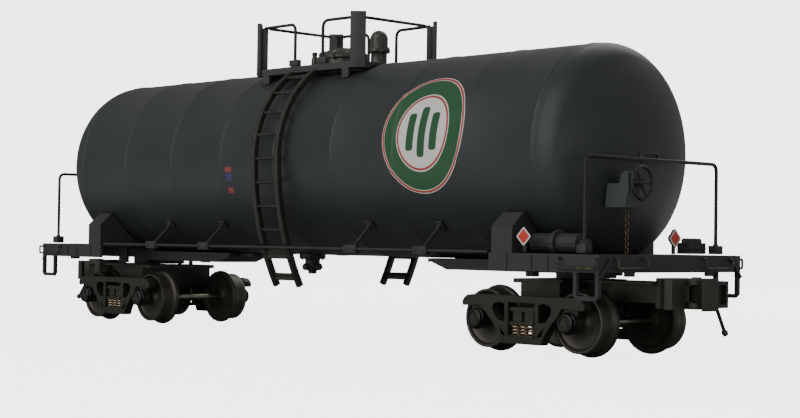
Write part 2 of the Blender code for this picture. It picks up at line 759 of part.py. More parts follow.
def make_brake_gear():
    face = DECK_END - BRAKE_FACE_FROM_END
    centre = (BRAKE_WHEEL_Y, DECK_TOP + BRAKE_WHEEL_RISE)
    reach = BRAKE_WHEEL_RADIUS - BRAKE_RIM_RADIUS
    ring = arc((reach, 0), BRAKE_RIM_RADIUS, 90, -270, BRAKE_RIM_STEPS)
    shape = [turned(ring, "x", (face, *centre))]
    for index in range(BRAKE_SPOKES):
        angle = math.radians(360 * index / BRAKE_SPOKES)
        along = Vector((0, math.cos(angle), math.sin(angle)))
        middle = Vector((face, *centre))
        shape.append(cylinder(middle + along * BRAKE_HUB_RADIUS / 2, middle + along * reach,
                              BRAKE_SPOKE_RADIUS, sides=ROD_SIDES))
    back = DECK_END - HOUSING_FROM_END
    front = back + HOUSING_LENGTH
    shape.append(cylinder((front + FIT, *centre), (face + BRAKE_RIM_RADIUS, *centre), BRAKE_HUB_RADIUS,
                          sides=SMALL_SIDES))
    name_piece(fuse(shape), "brake_wheel", FITTING_PAINT)
    bottom = DECK_TOP + HOUSING_RISE
    outline = [(back + along * HOUSING_LENGTH, bottom + up * HOUSING_HEIGHT)
               for along, up in HOUSING_SHELF_SHARES]
    housing = slab([outline], "xz", *around(BRAKE_WHEEL_Y, HOUSING_HALF_WIDTH * 2))
    name_piece(cut(housing, [tank_room()]), "brake_housing", FITTING_PAINT)
    chain_x = back + CHAIN_FROM_BACK
    chain = cylinder((chain_x, BRAKE_WHEEL_Y, DECK_TOP + FIT), (chain_x, BRAKE_WHEEL_Y, bottom - FIT),
                     CHAIN_RADIUS, sides=SMALL_SIDES)
    name_piece(chain, "brake_chain", FITTING_PAINT)


CYLINDER_TANK_GAP = 0.0004
CYLINDER_RADIUS = 0.0029
CYLINDER_SADDLE_GAP = 0.0018
CYLINDER_LENGTH = 0.0179
CYLINDER_RING_RADIUS = 0.0040
CYLINDER_RING_SHARE = 0.53
CYLINDER_RING_WIDTH = 0.0014
CYLINDER_NUB_RADIUS = 0.0012
CYLINDER_NUB_LENGTH = 0.0032
VALVE_FROM_END = 0.0132
VALVE_LENGTH = 0.0042
VALVE_FROM_SIDE = 0.0058
VALVE_WIDTH = 0.0094
VALVE_RISE = 0.0038
VALVE_LOBES = 5
VALVE_LOBE_RADIUS = 0.0009
VALVE_LOBE_RISE = 0.0010


def make_deck_fittings():
    height = DECK_TOP + FIT + CYLINDER_RADIUS
    away = TANK_RADIUS + SEAM_HEIGHT + CYLINDER_TANK_GAP + CYLINDER_RING_RADIUS
    cylinder_y = -math.sqrt(away ** 2 - (TANK_AXIS_HEIGHT - height) ** 2)
    centre = (cylinder_y, height)
    back = SADDLE_OUTER + CYLINDER_SADDLE_GAP
    front = back + CYLINDER_LENGTH
    ring_low, ring_high = around(back + CYLINDER_LENGTH * CYLINDER_RING_SHARE, CYLINDER_RING_WIDTH)
    pieces = [cylinder((back, *centre), (front, *centre), CYLINDER_RADIUS, sides=BEARING_SIDES),
              cylinder((ring_low, *centre), (ring_high, *centre), CYLINDER_RING_RADIUS, sides=BEARING_SIDES),
              cylinder((front - SINK, *centre), (front + CYLINDER_NUB_LENGTH, *centre), CYLINDER_NUB_RADIUS,
                       sides=SMALL_SIDES)]
    room = CYLINDER_RING_RADIUS + OVERRUN
    floor = box((back, front), around(cylinder_y, room * 2), (DECK_TOP - room, DECK_TOP + FIT))
    name_piece(cut(fuse(pieces), [floor]), "brake_cylinder", DECK_PAINT)
    top = DECK_TOP + VALVE_RISE
    outer = DECK_HALF_WIDTH - VALVE_FROM_SIDE
    back = DECK_END - VALVE_FROM_END
    pieces = [box((back, back + VALVE_LENGTH), (outer - VALVE_WIDTH, outer), (DECK_TOP + FIT, top))]
    pitch = VALVE_WIDTH / VALVE_LOBES
    middle = back + VALVE_LENGTH / 2
    for index in range(VALVE_LOBES):
        y = outer - pitch * (index + 1 / 2)
        pieces.append(cylinder((middle, y, top - SINK), (middle, y, top + VALVE_LOBE_RISE),
                               VALVE_LOBE_RADIUS, sides=SMALL_SIDES))
    name_piece(fuse(pieces), "control_valve", DECK_PAINT)


# Side pipes and their rods

PIPE_INSET = 0.0009
PIPE_RADIUS = 0.0005
PIPE_END_GAP = 0.0012
PIPE_RISE = 0.0002
PIPE_CLAMPS = (-0.0709, -0.0382, 0.0417, 0.0746)
CLAMP_LENGTH = 0.0060
CLAMP_HEIGHT = 0.0028
CLAMP_DEPTH = 0.0022
ROD_PAD_RADIUS = 0.0010
ROD_PAD_LENGTH = 0.0016


def make_side_pipe(side):
    """A pipe along the car's side, with clamps whose rods point at the tank's axis."""
    y, z = side * (DECK_HALF_WIDTH - PIPE_INSET), DECK_TOP + PIPE_RISE
    reach = DECK_INNER_END - PIPE_END_GAP
    pieces = [cylinder((-reach, y, z), (reach, y, z), PIPE_RADIUS, sides=SMALL_SIDES)]
    away = Vector((0, y, z - TANK_AXIS_HEIGHT)).normalized()
    axis = Vector((0, 0, TANK_AXIS_HEIGHT))
    seat = TANK_RADIUS + SEAM_HEIGHT + FIT
    for x in PIPE_CLAMPS:
        pieces.append(box(around(x, CLAMP_LENGTH), around(y, CLAMP_DEPTH), around(z, CLAMP_HEIGHT)))
        step = Vector((x, 0, 0))
        pieces.append(cylinder((x, y, z), axis + step + away * (seat + ROD_PAD_LENGTH / 2), PIPE_RADIUS,
                               sides=WIRE_SIDES))
        pieces.append(cylinder(axis + step + away * (seat + ROD_PAD_LENGTH), axis + step + away * seat,
                               ROD_PAD_RADIUS, sides=SMALL_SIDES))
    name_piece(fuse(pieces), "side_pipe_near" if side < 0 else "side_pipe_far", DECK_PAINT)


# Outlet valve under the tank

OUTLET_X = -0.0170
OUTLET_FLANGE_RADIUS = 0.0049
OUTLET_FLANGE_DROP = 0.0015
OUTLET_BODY_RADIUS = 0.0028
OUTLET_BODY_DROP = 0.0058
OUTLET_HUB_RADIUS = 0.0016
OUTLET_DROP = 0.0071
OUTLET_LOBE_RADIUS = 0.0013
OUTLET_LOBE_REACH = 0.0042
OUTLET_LOBE_DROP = 0.0045


def make_outlet():
    flange, body, hub = OUTLET_FLANGE_RADIUS, OUTLET_BODY_RADIUS, OUTLET_HUB_RADIUS
    profile = [(0, SINK), (flange, SINK), (flange, -OUTLET_FLANGE_DROP), (body, -OUTLET_FLANGE_DROP),
               (body, -OUTLET_BODY_DROP), (hub, -OUTLET_BODY_DROP), (hub, -OUTLET_DROP), (0, -OUTLET_DROP)]
    pieces = [turned(profile, "z", (OUTLET_X, 0, TANK_BOTTOM), VALVE_SIDES)]
    height = TANK_BOTTOM - OUTLET_LOBE_DROP
    for along, across in ((1, 0), (-1, 0), (0, 1), (0, -1)):
        tip = (OUTLET_X + along * OUTLET_LOBE_REACH, across * OUTLET_LOBE_REACH, height)
        pieces.append(cylinder((OUTLET_X, 0, height), tip, OUTLET_LOBE_RADIUS, sides=SMALL_SIDES))
    name_piece(cut(fuse(pieces), [tank_room()]), "outlet_valve", FITTING_PAINT)


# Ladders

LADDER_STAND = 0.0033
LADDER_LOWER_RADIUS = 0.0950
LADDER_DROP = 0.0132
LADDER_HALF_WIDTH = 0.0063
LADDER_STILE_WIDTH = 0.0016
LADDER_STILE_DEPTH = 0.0016
RUNG_PITCH = 0.0084
RUNG_RADIUS = 0.0005
LADDER_TOP_ANGLE = 56
LADDER_UPPER_STEPS = 9
LADDER_LOWER_STEPS = 5
LADDER_STRAP_RISE = 0.0018
LADDER_STRAP_HEIGHT = 0.0016
LADDER_PLATE_DROP = (0.0038, 0.0003)
LADDER_PLATE_THICKNESS = 0.0007


def ladder_line(offset):
    """A line of (y, z) for the far side: an arc round the tank, then a wide arc inwards below it."""
    radius = TANK_RADIUS + LADDER_STAND + offset
    upper = arc((0, TANK_AXIS_HEIGHT), radius, LADDER_TOP_ANGLE, 0, LADDER_UPPER_STEPS)
    lower_radius = LADDER_LOWER_RADIUS + offset
    centre = (TANK_RADIUS + LADDER_STAND - LADDER_LOWER_RADIUS, TANK_AXIS_HEIGHT)
    bottom = DECK_TOP - LADDER_DROP
    sweep = math.degrees(math.asin((TANK_AXIS_HEIGHT - bottom) / lower_radius))
    return upper + arc(centre, lower_radius, 0, -sweep, LADDER_LOWER_STEPS)[1:]


def on_line(line, height):
    """The first coordinate of a falling line at a height."""
    for (y0, z0), (y1, z1) in zip(line, line[1:]):
        if z0 >= height >= z1:
            return y0 + (y1 - y0) * (z0 - height) / (z0 - z1)
    return line[-1][0]


def rung_places(line):
    """Points at an even pitch along a line, from a third of a pitch to a whole one before its end."""
    lengths = [0]
    for (y0, z0), (y1, z1) in zip(line, line[1:]):
        lengths.append(lengths[-1] + math.hypot(y1 - y0, z1 - z0))
    places = []
    reach = RUNG_PITCH / 3
    while reach < lengths[-1] - RUNG_PITCH / 2:
        index = max(i for i, length in enumerate(lengths) if length <= reach)
        part = (reach - lengths[index]) / (lengths[index + 1] - lengths[index])
        (y0, z0), (y1, z1) = line[index], line[index + 1]
        places.append((y0 + part * (y1 - y0), z0 + part * (z1 - z0)))
        reach += RUNG_PITCH
    return places


def make_ladder(side):
    pieces = []
    half_depth = LADDER_STILE_DEPTH / 2
    outline = ladder_line(half_depth) + list(reversed(ladder_line(-half_depth)))
    outline = [(side * y, z) for y, z in outline]
    for hand in (-1, 1):
        pieces.append(slab([outline], "yz", *around(hand * LADDER_HALF_WIDTH, LADDER_STILE_WIDTH)))
    line = ladder_line(0)
    for y, z in rung_places(line):
        pieces.append(cylinder((-LADDER_HALF_WIDTH, side * y, z), (LADDER_HALF_WIDTH, side * y, z),
                               RUNG_RADIUS, sides=ROD_SIDES))
    strap = DECK_TOP - LADDER_DROP + LADDER_STRAP_RISE
    y = side * on_line(line, strap)
    pieces.append(box(around(0, LADDER_HALF_WIDTH * 2), around(y, LADDER_PLATE_THICKNESS * 2),
                      (strap, strap + LADDER_STRAP_HEIGHT)))
    low, high = DECK_TOP - LADDER_PLATE_DROP[0], DECK_TOP + LADDER_PLATE_DROP[1]
    y = side * on_line(line, (low + high) / 2)
    pieces.append(box(around(0, LADDER_HALF_WIDTH * 2), around(y, LADDER_PLATE_THICKNESS), (low, high)))
    name_piece(fuse(pieces), "ladder_near" if side < 0 else "ladder_far", FITTING_PAINT)


# Top platform

LEG_X = 0.0215
LEG_WIDTH = 0.0032
LEG_DEPTH = 0.0014
RAIL_GAP_HALF = 0.0075
RAIL_BLOCK_LENGTH = 0.0060
RAIL_BLOCK_HEIGHT = 0.0023
RAIL_BLOCK_DEPTH = 0.0020
RAIL_WIRE = 0.0005
RAIL_Y = PLATFORM_HALF_WIDTH - RAIL_BLOCK_DEPTH


def make_platform(side):
    half_length, half_width = PLATFORM_HALF_LENGTH, PLATFORM_HALF_WIDTH
    low, high = PLATFORM_BOTTOM, PLATFORM_TOP
    outline = mirrored([(half_length, 0), (half_length, half_width - PLATFORM_CORNER_CUT),
                        (half_length - PLATFORM_CORNER_CUT, half_width)])
    walk = slab([[(x, side * y) for x, y in outline]], "xy", low, high)
    opening = box(around(0, (half_length - PLATFORM_WALK) * 2),
                  (-OVERRUN, side * (half_width - PLATFORM_WALK)), (low - OVERRUN, high + OVERRUN))
    middle = box(around(0, (half_length + OVERRUN) * 2), (-side * half_width, side * SINK),
                 (low - OVERRUN, high + OVERRUN))
    pieces = [cut(walk, [opening, middle])]
    for hand in (-1, 1):
        pieces.append(box(around(hand * LEG_X, LEG_WIDTH),
                          (side * (half_width - LEG_DEPTH), side * half_width),
                          (TANK_AXIS_HEIGHT, low + SINK)))
    platform = cut(fuse(pieces), [tank_room()])
    name_piece(platform, "platform_near" if side < 0 else "platform_far", FITTING_PAINT)


def post_web_centre(end, side):
    """The middle of a corner post's web, in plan: the rails meet there."""
    inset = PLATFORM_CORNER_CUT / 2 + POST_WEB / 2 * math.sqrt(1 / 2)
    return end * (PLATFORM_HALF_LENGTH - inset), side * (PLATFORM_HALF_WIDTH - inset)


def make_post(name, end, side):
    """A corner post set diagonally: an outer plate, an inner web, and the wire rail that it carries."""
    corner = PLATFORM_CORNER_CUT / 2
    x, y = end * (PLATFORM_HALF_LENGTH - corner), side * (PLATFORM_HALF_WIDTH - corner)
    low, high = PLATFORM_BOTTOM, POST_TOP
    turn = Matrix.Translation((x, y, 0)) @ Matrix.Rotation(math.atan2(side, end), 4, "Z")
    half, cut_off = POST_WIDTH / 2, POST_CORNER_CUT
    front_view = mirrored([(half, low), (half, high - cut_off), (half - cut_off, high)])
    plate = slab([front_view], "yz", FIT, FIT + POST_THICKNESS)
    foot = PLATFORM_TOP + FIT
    side_view = [(FIT + SINK, foot), (FIT - POST_WEB, foot), (FIT - POST_WEB, high - POST_WEB),
                 (FIT + SINK, high - SINK)]
    web = slab([side_view], "xz", *around(0, POST_WEB_THICKNESS))
    post = fuse([plate, web])
    post.data.transform(turn)
    rail_y = side * RAIL_Y
    block_x = end * RAIL_GAP_HALF
    rail = tube(bent([(*post_web_centre(end, side), RAIL_TOP), (block_x, rail_y, RAIL_TOP),
                      (block_x, rail_y, foot + RAIL_BLOCK_HEIGHT / 2)], WIRE_BEND), RAIL_WIRE, 1)
    block = box(around(block_x, RAIL_BLOCK_LENGTH), around(rail_y, RAIL_BLOCK_DEPTH),
                (foot, foot + RAIL_BLOCK_HEIGHT))
    name_piece(fuse([post, rail, block]), name, FITTING_PAINT)


def make_end_rail(name, end):
    x, y = post_web_centre(end, 1)
    reach = y - math.sqrt(2) * (POST_WEB_THICKNESS / 2 + FIT) - RAIL_WIRE
    rail = cylinder((x, -reach, RAIL_TOP), (x, reach, RAIL_TOP), RAIL_WIRE, sides=WIRE_SIDES)
    name_piece(rail, name, FITTING_PAINT)


# Manway and valves on the tank top

MANWAY_X = -0.0015
MANWAY_NECK_RADIUS = 0.0075
MANWAY_COVER_RADIUS = 0.0088
MANWAY_COVER_RISE = 0.0035
MANWAY_COVER_THICKNESS = 0.0010
MANWAY_STEP_SHARES = ((0.36, 1), (0.40, 0.84), (0.70, 0.70), (0.74, 0.50), (0.90, 0.38))
MANWAY_DOME_HEIGHT = 0.0031
MANWAY_BOLTS = 8
MANWAY_BOLT_RADIUS = 0.0008
MANWAY_BOLT_RISE = 0.0006
NOZZLE_X = -0.0176
NOZZLE_RADIUS = 0.0013
NOZZLE_TOP_RADIUS = 0.0010
NOZZLE_RISE = 0.0062
SAFETY_X = 0.0174
SAFETY_BASE_RADIUS = 0.0029
SAFETY_FLANGE_RADIUS = 0.0040
SAFETY_FLANGE_RISE = 0.0046
SAFETY_FLANGE_THICKNESS = 0.0014
SAFETY_DOME_RADIUS = 0.0032
SAFETY_RISE = 0.0126
SAFETY_DOME_SHARES = ((0, 1), (0.36, 0.965), (0.70, 0.85), (0.92, 0.68), (1, 0.50))


def make_top_fittings():
    base = TANK_TOP - SEAM_WIDTH * 2
    rim, neck = MANWAY_COVER_RADIUS, MANWAY_NECK_RADIUS
    rim_low = TANK_TOP + MANWAY_COVER_RISE
    rim_top = rim_low + MANWAY_COVER_THICKNESS
    dome = [(rim * out, rim_top + MANWAY_DOME_HEIGHT * up) for out, up in MANWAY_STEP_SHARES]
    manway = [(0, rim_top + MANWAY_DOME_HEIGHT), *dome, (rim, rim_top), (rim, rim_low), (neck, rim_low),
              (neck, base), (0, base)]
    pieces = [turned(manway, "z", (MANWAY_X, 0, 0), MANWAY_SIDES)]
    for index in range(MANWAY_BOLTS):
        angle = 2 * math.pi * (index + 1 / 2) / MANWAY_BOLTS
        x, y = MANWAY_X + rim * math.cos(angle), rim * math.sin(angle)
        pieces.append(cylinder((x, y, rim_low - MANWAY_BOLT_RISE), (x, y, rim_top + MANWAY_BOLT_RISE),
                               MANWAY_BOLT_RADIUS, sides=WIRE_SIDES))
    name_piece(cut(fuse(pieces), [tank_room()]), "manway", VALVE_PEWTER)
    nozzle = cylinder((NOZZLE_X, 0, base), (NOZZLE_X, 0, TANK_TOP + NOZZLE_RISE), NOZZLE_RADIUS,
                      NOZZLE_TOP_RADIUS, SMALL_SIDES)
    name_piece(cut(nozzle, [tank_room()]), "vent_nozzle", VALVE_PEWTER)
    low = TANK_TOP + SAFETY_FLANGE_RISE
    high = low + SAFETY_FLANGE_THICKNESS
    rise = TANK_TOP + SAFETY_RISE - high
    dome = [(SAFETY_DOME_RADIUS * out, high + rise * up) for out, up in SAFETY_DOME_SHARES]
    valve = [*dome, (SAFETY_DOME_RADIUS, high), (SAFETY_FLANGE_RADIUS, high), (SAFETY_FLANGE_RADIUS, low),
             (SAFETY_BASE_RADIUS, low), (SAFETY_BASE_RADIUS, base), (0, base)]
    valve = cut(turned(valve, "z", (SAFETY_X, 0, 0), VALVE_SIDES), [tank_room()])
    name_piece(valve, "safety_valve", VALVE_PEWTER)


# Trucks

SIDEFRAME_SHARES = ((0.095, -1), (0.198, -0.60), (0.474, -0.03), (0.63, 0.18), (0.776, 0.54),
                    (0.871, 0.565), (1.51, 0.51), (1.552, 0.62), (1.51, 0.80), (1.37, 0.96), (1.13, 1))
WINDOW_SHARES = ((0, -0.07), (0, 0.67), (0.181, 0.72), (0.379, 0.645), (0.44, 0.50), (0.405, 0.30),
                 (0.241, -0.014))
LOWER_WINDOW_SHARES = ((-0.052, -0.66), (0.19, -0.25), (0.103, -0.66))
FRAME_COLUMN = BOLSTER_HALF_LENGTH + FIT + COLUMN_WIDTH


def frame_place(along_share, height_share):
    """A place on a sideframe: a share of the way from its column to the axle, and one of its rise or drop."""
    height = SIDEFRAME_RISE if height_share > 0 else SIDEFRAME_DROP
    return FRAME_COLUMN + along_share * (WHEELBASE / 2 - FRAME_COLUMN), AXLE_HEIGHT + height_share * height


def sideframe_outlines():
    """The outline, then the openings for the bolster, the windows and the small lower windows."""
    half = BOLSTER_HALF_LENGTH + FIT
    roof = BOLSTER_TOP + BOLSTER_HEADROOM
    centre = [(half, CHORD_TOP), (half, roof), (-half, roof), (-half, CHORD_TOP)]
    outlines = [mirrored([frame_place(*shares) for shares in SIDEFRAME_SHARES]), centre]
    for table in (WINDOW_SHARES, LOWER_WINDOW_SHARES):
        opening = [frame_place(*shares) for shares in table]
        outlines += [opening, [(-x, z) for x, z in opening]]
    return outlines


def bearing(x, side):
    """A roller bearing in its adapter, with a blind bore for the journal."""
    bore = JOURNAL_RADIUS + FIT
    back = SIDEFRAME_FACE - SIDEFRAME_THICKNESS
    bore_end = WHEEL_FACE + JOURNAL_LENGTH + FIT
    shoulder = BEARING_FACE - BEARING_CAP_DEPTH
    profile = [(0, BEARING_FACE), (BEARING_CAP_RADIUS, BEARING_FACE), (BEARING_CAP_RADIUS, shoulder),
               (BEARING_RADIUS, shoulder), (BEARING_RADIUS, back), (bore, back), (bore, bore_end),
               (0, bore_end)]
    if side < 0:
        profile = upside_down(profile)
    barrel = turned(profile, "y", (x, 0, AXLE_HEIGHT), BEARING_SIDES)
    corners = arc((x, AXLE_HEIGHT), BEARING_BOSS_RADIUS, 90, 330, 2)
    boss = slab([corners], "xz", side * (BEARING_FACE - SINK), side * (BEARING_FACE + BEARING_BOSS_DEPTH))
    top = AXLE_HEIGHT + BEARING_RADIUS
    adapter = box(around(x, ADAPTER_HALF_LENGTH * 2),
                  (side * (back + FIT), side * (SIDEFRAME_FACE - ADAPTER_INSET)),
                  (top - ADAPTER_SINK, top + ADAPTER_RISE))
    return fuse([barrel, boss, adapter])


def make_sideframe(name, side, centre_x, parent):
    outlines = [shifted(outline, centre_x) for outline in sideframe_outlines()]
    inner = SIDEFRAME_FACE - SIDEFRAME_THICKNESS
    pieces = [slab(outlines, "xz", side * inner, side * SIDEFRAME_FACE)]
    for hand in (-1, 1):
        pieces.append(bearing(centre_x + hand * WHEELBASE / 2, side))
    name_piece(fuse(pieces), name, TRUCK_CASTING, parent)


SPRING_SEAT = 0.0005
SPRING_WIRE = 0.00027


def coil(x, y, low, high):
    """One coil spring: a wire wound about a vertical axis from a low to a high place."""
    winding = SPRING_RADIUS - SPRING_WIRE
    steps = SPRING_TURNS * SPRING_STEPS
    line = []
    for step in range(steps + 1):
        angle = 2 * math.pi * step / SPRING_STEPS
        height = low + (high - low) * step / steps
        line.append((x + winding * math.cos(angle), y + winding * math.sin(angle), height))
    return tube(line, SPRING_WIRE)


def make_springs(name, side, centre_x, parent):
    """Three coil springs between a lower and an upper seat plate."""
    bottom, top = CHORD_TOP + FIT, BOLSTER_BOTTOM - FIT
    y = side * (SIDEFRAME_FACE - SPRING_RADIUS)
    half = SPRING_RADIUS - SPRING_WIRE / 2
    pieces = []
    for low, high in ((bottom, bottom + SPRING_SEAT), (top - SPRING_SEAT, top)):
        pieces.append(box(around(centre_x, (SPRING_PITCH + half) * 2), around(y, half * 2), (low, high)))
    for index in (-1, 0, 1):
        x = centre_x + index * SPRING_PITCH
        pieces.append(coil(x, y, bottom + SPRING_SEAT / 2, top - SPRING_SEAT / 2))
    name_piece(fuse(pieces), name, SPRING_BRONZE, parent)


BOLSTER_RIB_X = (0.0006, 0.0042)


def make_bolster(name, end, centre_x, parent):
    low, high = BOLSTER_BOTTOM, BOLSTER_TOP
    shelf = high - BOLSTER_FLANGE_THICKNESS
    pieces = [box(around(centre_x, BOLSTER_HALF_LENGTH * 2), around(0, BOLSTER_END * 2), (low, high))]
    for side in (-1, 1):
        pieces.append(box(around(centre_x, BOLSTER_HALF_LENGTH * 2),
                          (side * (BOLSTER_END - SINK), side * (BOLSTER_END + BOLSTER_FLANGE_PROUD)),
                          (shelf, high)))
        for hand in (-1, 1):
            pieces.append(box((centre_x + hand * BOLSTER_RIB_X[0], centre_x + hand * BOLSTER_RIB_X[1]),
                              (side * (BOLSTER_END - SINK), side * (BOLSTER_END + BOLSTER_RIB_PROUD)),
                              (low, shelf + SINK)))
    pieces.append(box(around(centre_x, BOX_HALF_LENGTH * 2), around(0, BOX_HALF_WIDTH * 2),
                      (high - SINK, BOX_TOP)))
    pieces.append(box((centre_x - end * PLATE_BACK, centre_x + end * BOX_HALF_LENGTH),
                      around(0, PLATE_HALF_WIDTH * 2), (BOX_TOP - SINK, TRUCK_TOP)))
    beam_x = centre_x - end * BEAM_FROM_CENTRE
    beam_z = AXLE_HEIGHT - BEAM_DROP
    pieces.append(cylinder((beam_x, -BEAM_HALF_LENGTH, beam_z), (beam_x, BEAM_HALF_LENGTH, beam_z),
                           BEAM_RADIUS, sides=WIRE_SIDES))
    foot = centre_x - end * (BOX_HALF_LENGTH - BEAM_RADIUS * 2)
    for side in (-1, 1):
        y = side * (BEAM_HALF_LENGTH - BEAM_HANGER_INSET)
        pieces.append(tube([(beam_x, y, beam_z), (foot, y, high + SINK)], BEAM_RADIUS))
    name_piece(fuse(pieces), name, TRUCK_CASTING, parent)


BACK_HALF_WIDTH = 0.0043
BACK_LENGTH = 0.0020
GUARD_SHOULDER = 0.0027
PIN_HEAD_RADIUS = 0.0016
PIN_HEAD_HEIGHT = 0.0004
NOSE_TIP_THICKNESS = 0.0010
NOSE_BACK_REACH = 0.0039
NOSE_FACE_REACH = 0.0010


def make_coupler(name_end, end, centre_x, truck):
    """The tongue, shank and head: two lugs over and under the knuckle, and the pin through them."""
    low, high = COUPLER_TOP - COUPLER_DEPTH, COUPLER_TOP

    def spot(along, across):
        return centre_x + end * along, end * across

    body = slab([[spot(COUPLER_BACK, -BACK_HALF_WIDTH), spot(COUPLER_BACK + BACK_LENGTH, -BACK_HALF_WIDTH),
                  spot(GUARD_FACE - GUARD_SHOULDER, -GUARD_OUTER), spot(GUARD_FACE, -GUARD_OUTER),
                  spot(GUARD_FACE, -GUARD_INNER), spot(THROAT, 0), spot(THROAT, KNUCKLE_PIN_Y + LUG_RADIUS),
                  spot(COUPLER_BACK + BACK_LENGTH, KNUCKLE_PIN_Y + LUG_RADIUS),
                  spot(COUPLER_BACK, BACK_HALF_WIDTH)]], "xy", low, high)
    pieces = [body]
    rounded = arc((KNUCKLE_PIN_X, KNUCKLE_PIN_Y), LUG_RADIUS, 90, -90, 6)
    lug = [spot(THROAT - SINK, KNUCKLE_PIN_Y + LUG_RADIUS)] + [spot(*place) for place in rounded]
    lug.append(spot(THROAT - SINK, KNUCKLE_PIN_Y - LUG_RADIUS))
    for lug_low, lug_high in ((low, low + LUG_THICKNESS), (high - LUG_THICKNESS, high)):
        pieces.append(slab([lug], "xy", lug_low, lug_high))
    pin = spot(KNUCKLE_PIN_X, KNUCKLE_PIN_Y)
    pieces.append(cylinder((*pin, low + SINK), (*pin, high - SINK), PIN_RADIUS, sides=PIN_SIDES))
    pieces.append(cylinder((*pin, high - SINK), (*pin, high + PIN_HEAD_HEIGHT), PIN_HEAD_RADIUS,
                           sides=PIN_SIDES))
    start, stop = centre_x + end * BOX_HALF_LENGTH, centre_x + end * (COUPLER_BACK + SINK)
    pieces.append(box((start, stop), around(0, SHANK_HALF_WIDTH * 2),
                      (BOX_TOP - SHANK_DEPTH, BOX_TOP + SINK)))
    pieces.append(box((start, stop), around(0, TONGUE_HALF_WIDTH * 2), (BOX_TOP, TRUCK_TOP)))
    name_piece(fuse(pieces), "coupler_" + name_end, TRUCK_CASTING, truck)
    hinge = pivot("knuckle_pin_" + name_end, (*pin, COUPLER_CENTRE), truck)
    make_knuckle("knuckle_" + name_end, end, pin, hinge)


def make_knuckle(name, end, pin, hinge):
    """A nose and a wing of full height, on a tang between the lugs, with a hose below."""

    def spot(along, across):
        return pin[0] + end * along, pin[1] + end * across

    low, high = COUPLER_CENTRE - KNUCKLE_DEPTH / 2, COUPLER_CENTRE + KNUCKLE_DEPTH / 2
    nose = slab([[spot(KNUCKLE_BACK, -NOSE_BACK_REACH), spot(KNUCKLE_FRONT - NOSE_TIP_THICKNESS, -NOSE_REACH),
                  spot(KNUCKLE_FRONT, -NOSE_REACH), spot(KNUCKLE_FRONT, -NOSE_FACE_REACH),
                  spot(KNUCKLE_BACK, -NOSE_FACE_REACH)]], "xy", low, high)
    front = KNUCKLE_FRONT - WING_SETBACK
    wing_low, wing_high = low + WING_DROP, high - WING_DROP
    wing = slab([[spot(KNUCKLE_BACK, -NOSE_FACE_REACH - SINK), spot(front, -NOSE_FACE_REACH - SINK),
                  spot(front, WING_REACH), spot(KNUCKLE_BACK, WING_REACH)]], "xy", wing_low, wing_high)
    recess = box((pin[0] + end * (front - WING_RECESS), pin[0] + end * (front + OVERRUN)),
                 (pin[1], pin[1] + end * (WING_REACH - WING_RIM)),
                 (wing_low + WING_RIM, wing_high - WING_RIM))
    wing = cut(wing, [recess])
    gap_low = COUPLER_TOP - COUPLER_DEPTH + LUG_THICKNESS + FIT
    gap_high = COUPLER_TOP - LUG_THICKNESS - FIT
    tang = slab([[spot(0, -BARREL_RADIUS), spot(KNUCKLE_BACK + SINK, -BARREL_RADIUS),
                  spot(KNUCKLE_BACK + SINK, BARREL_RADIUS), spot(0, BARREL_RADIUS)]], "xy", gap_low, gap_high)
    barrel = cylinder((*pin, gap_low), (*pin, gap_high), BARREL_RADIUS, sides=BEARING_SIDES)
    hose_x = KNUCKLE_FRONT - HOSE_INSET
    start, tip = spot(hose_x, 0), spot(hose_x, HOSE_SWEEP)
    hose = tube([(*start, low + WING_DROP + SINK), (*tip, low - HOSE_DROP)], HOSE_RADIUS, 1)
    knuckle = fuse([nose, wing, tang, barrel, hose, ball((*tip, low - HOSE_DROP), HOSE_BULB_RADIUS)])
    bore = cylinder((*pin, gap_low - OVERRUN), (*pin, gap_high + OVERRUN), PIN_RADIUS + FIT, sides=PIN_SIDES)
    name_piece(cut(knuckle, [bore]), name, TRUCK_CASTING, hinge)


def wheel_profile():
    """A wheel's profile (radius, distance from the car's middle), from its journal's end inwards."""
    back, face = WHEEL_BACK_HALF, WHEEL_FACE
    tip = face + JOURNAL_LENGTH
    web = face - WEB_RECESS
    rim = TREAD_RADIUS - RIM_THICKNESS
    flange = TREAD_RADIUS + FLANGE_HEIGHT
    return [(0, tip), (JOURNAL_RADIUS, tip), (JOURNAL_RADIUS, face + HUB_PROUD),
            (HUB_RADIUS, face + HUB_PROUD), (HUB_RADIUS, web), (rim, web), (rim, face), (TREAD_RADIUS, face),
            (TREAD_RADIUS, back + FLANGE_WIDTH * 2), (flange, back + FLANGE_WIDTH), (flange, back), (0, back)]


def make_wheelset(name_end, word, x, truck):
    """Two wheels with their journals, and the axle between them, about one pivot."""
    place = (x, 0, AXLE_HEIGHT)
    turning = pivot("wheelset_" + name_end + "_" + word, place, truck)
    for side, hand in ((-1, "near"), (1, "far")):
        profile = wheel_profile() if side > 0 else upside_down(wheel_profile())
        name_piece(turned(profile, "y", place, WHEEL_SIDES), "wheel_" + name_end + "_" + word + "_" + hand,
                   WHEEL_METAL, turning)
    axle = cylinder((x, -WHEEL_BACK_HALF, AXLE_HEIGHT), (x, WHEEL_BACK_HALF, AXLE_HEIGHT), AXLE_RADIUS,
                    sides=BEARING_SIDES)
    name_piece(axle, "axle_" + name_end + "_" + word, AXLE_STEEL, turning)


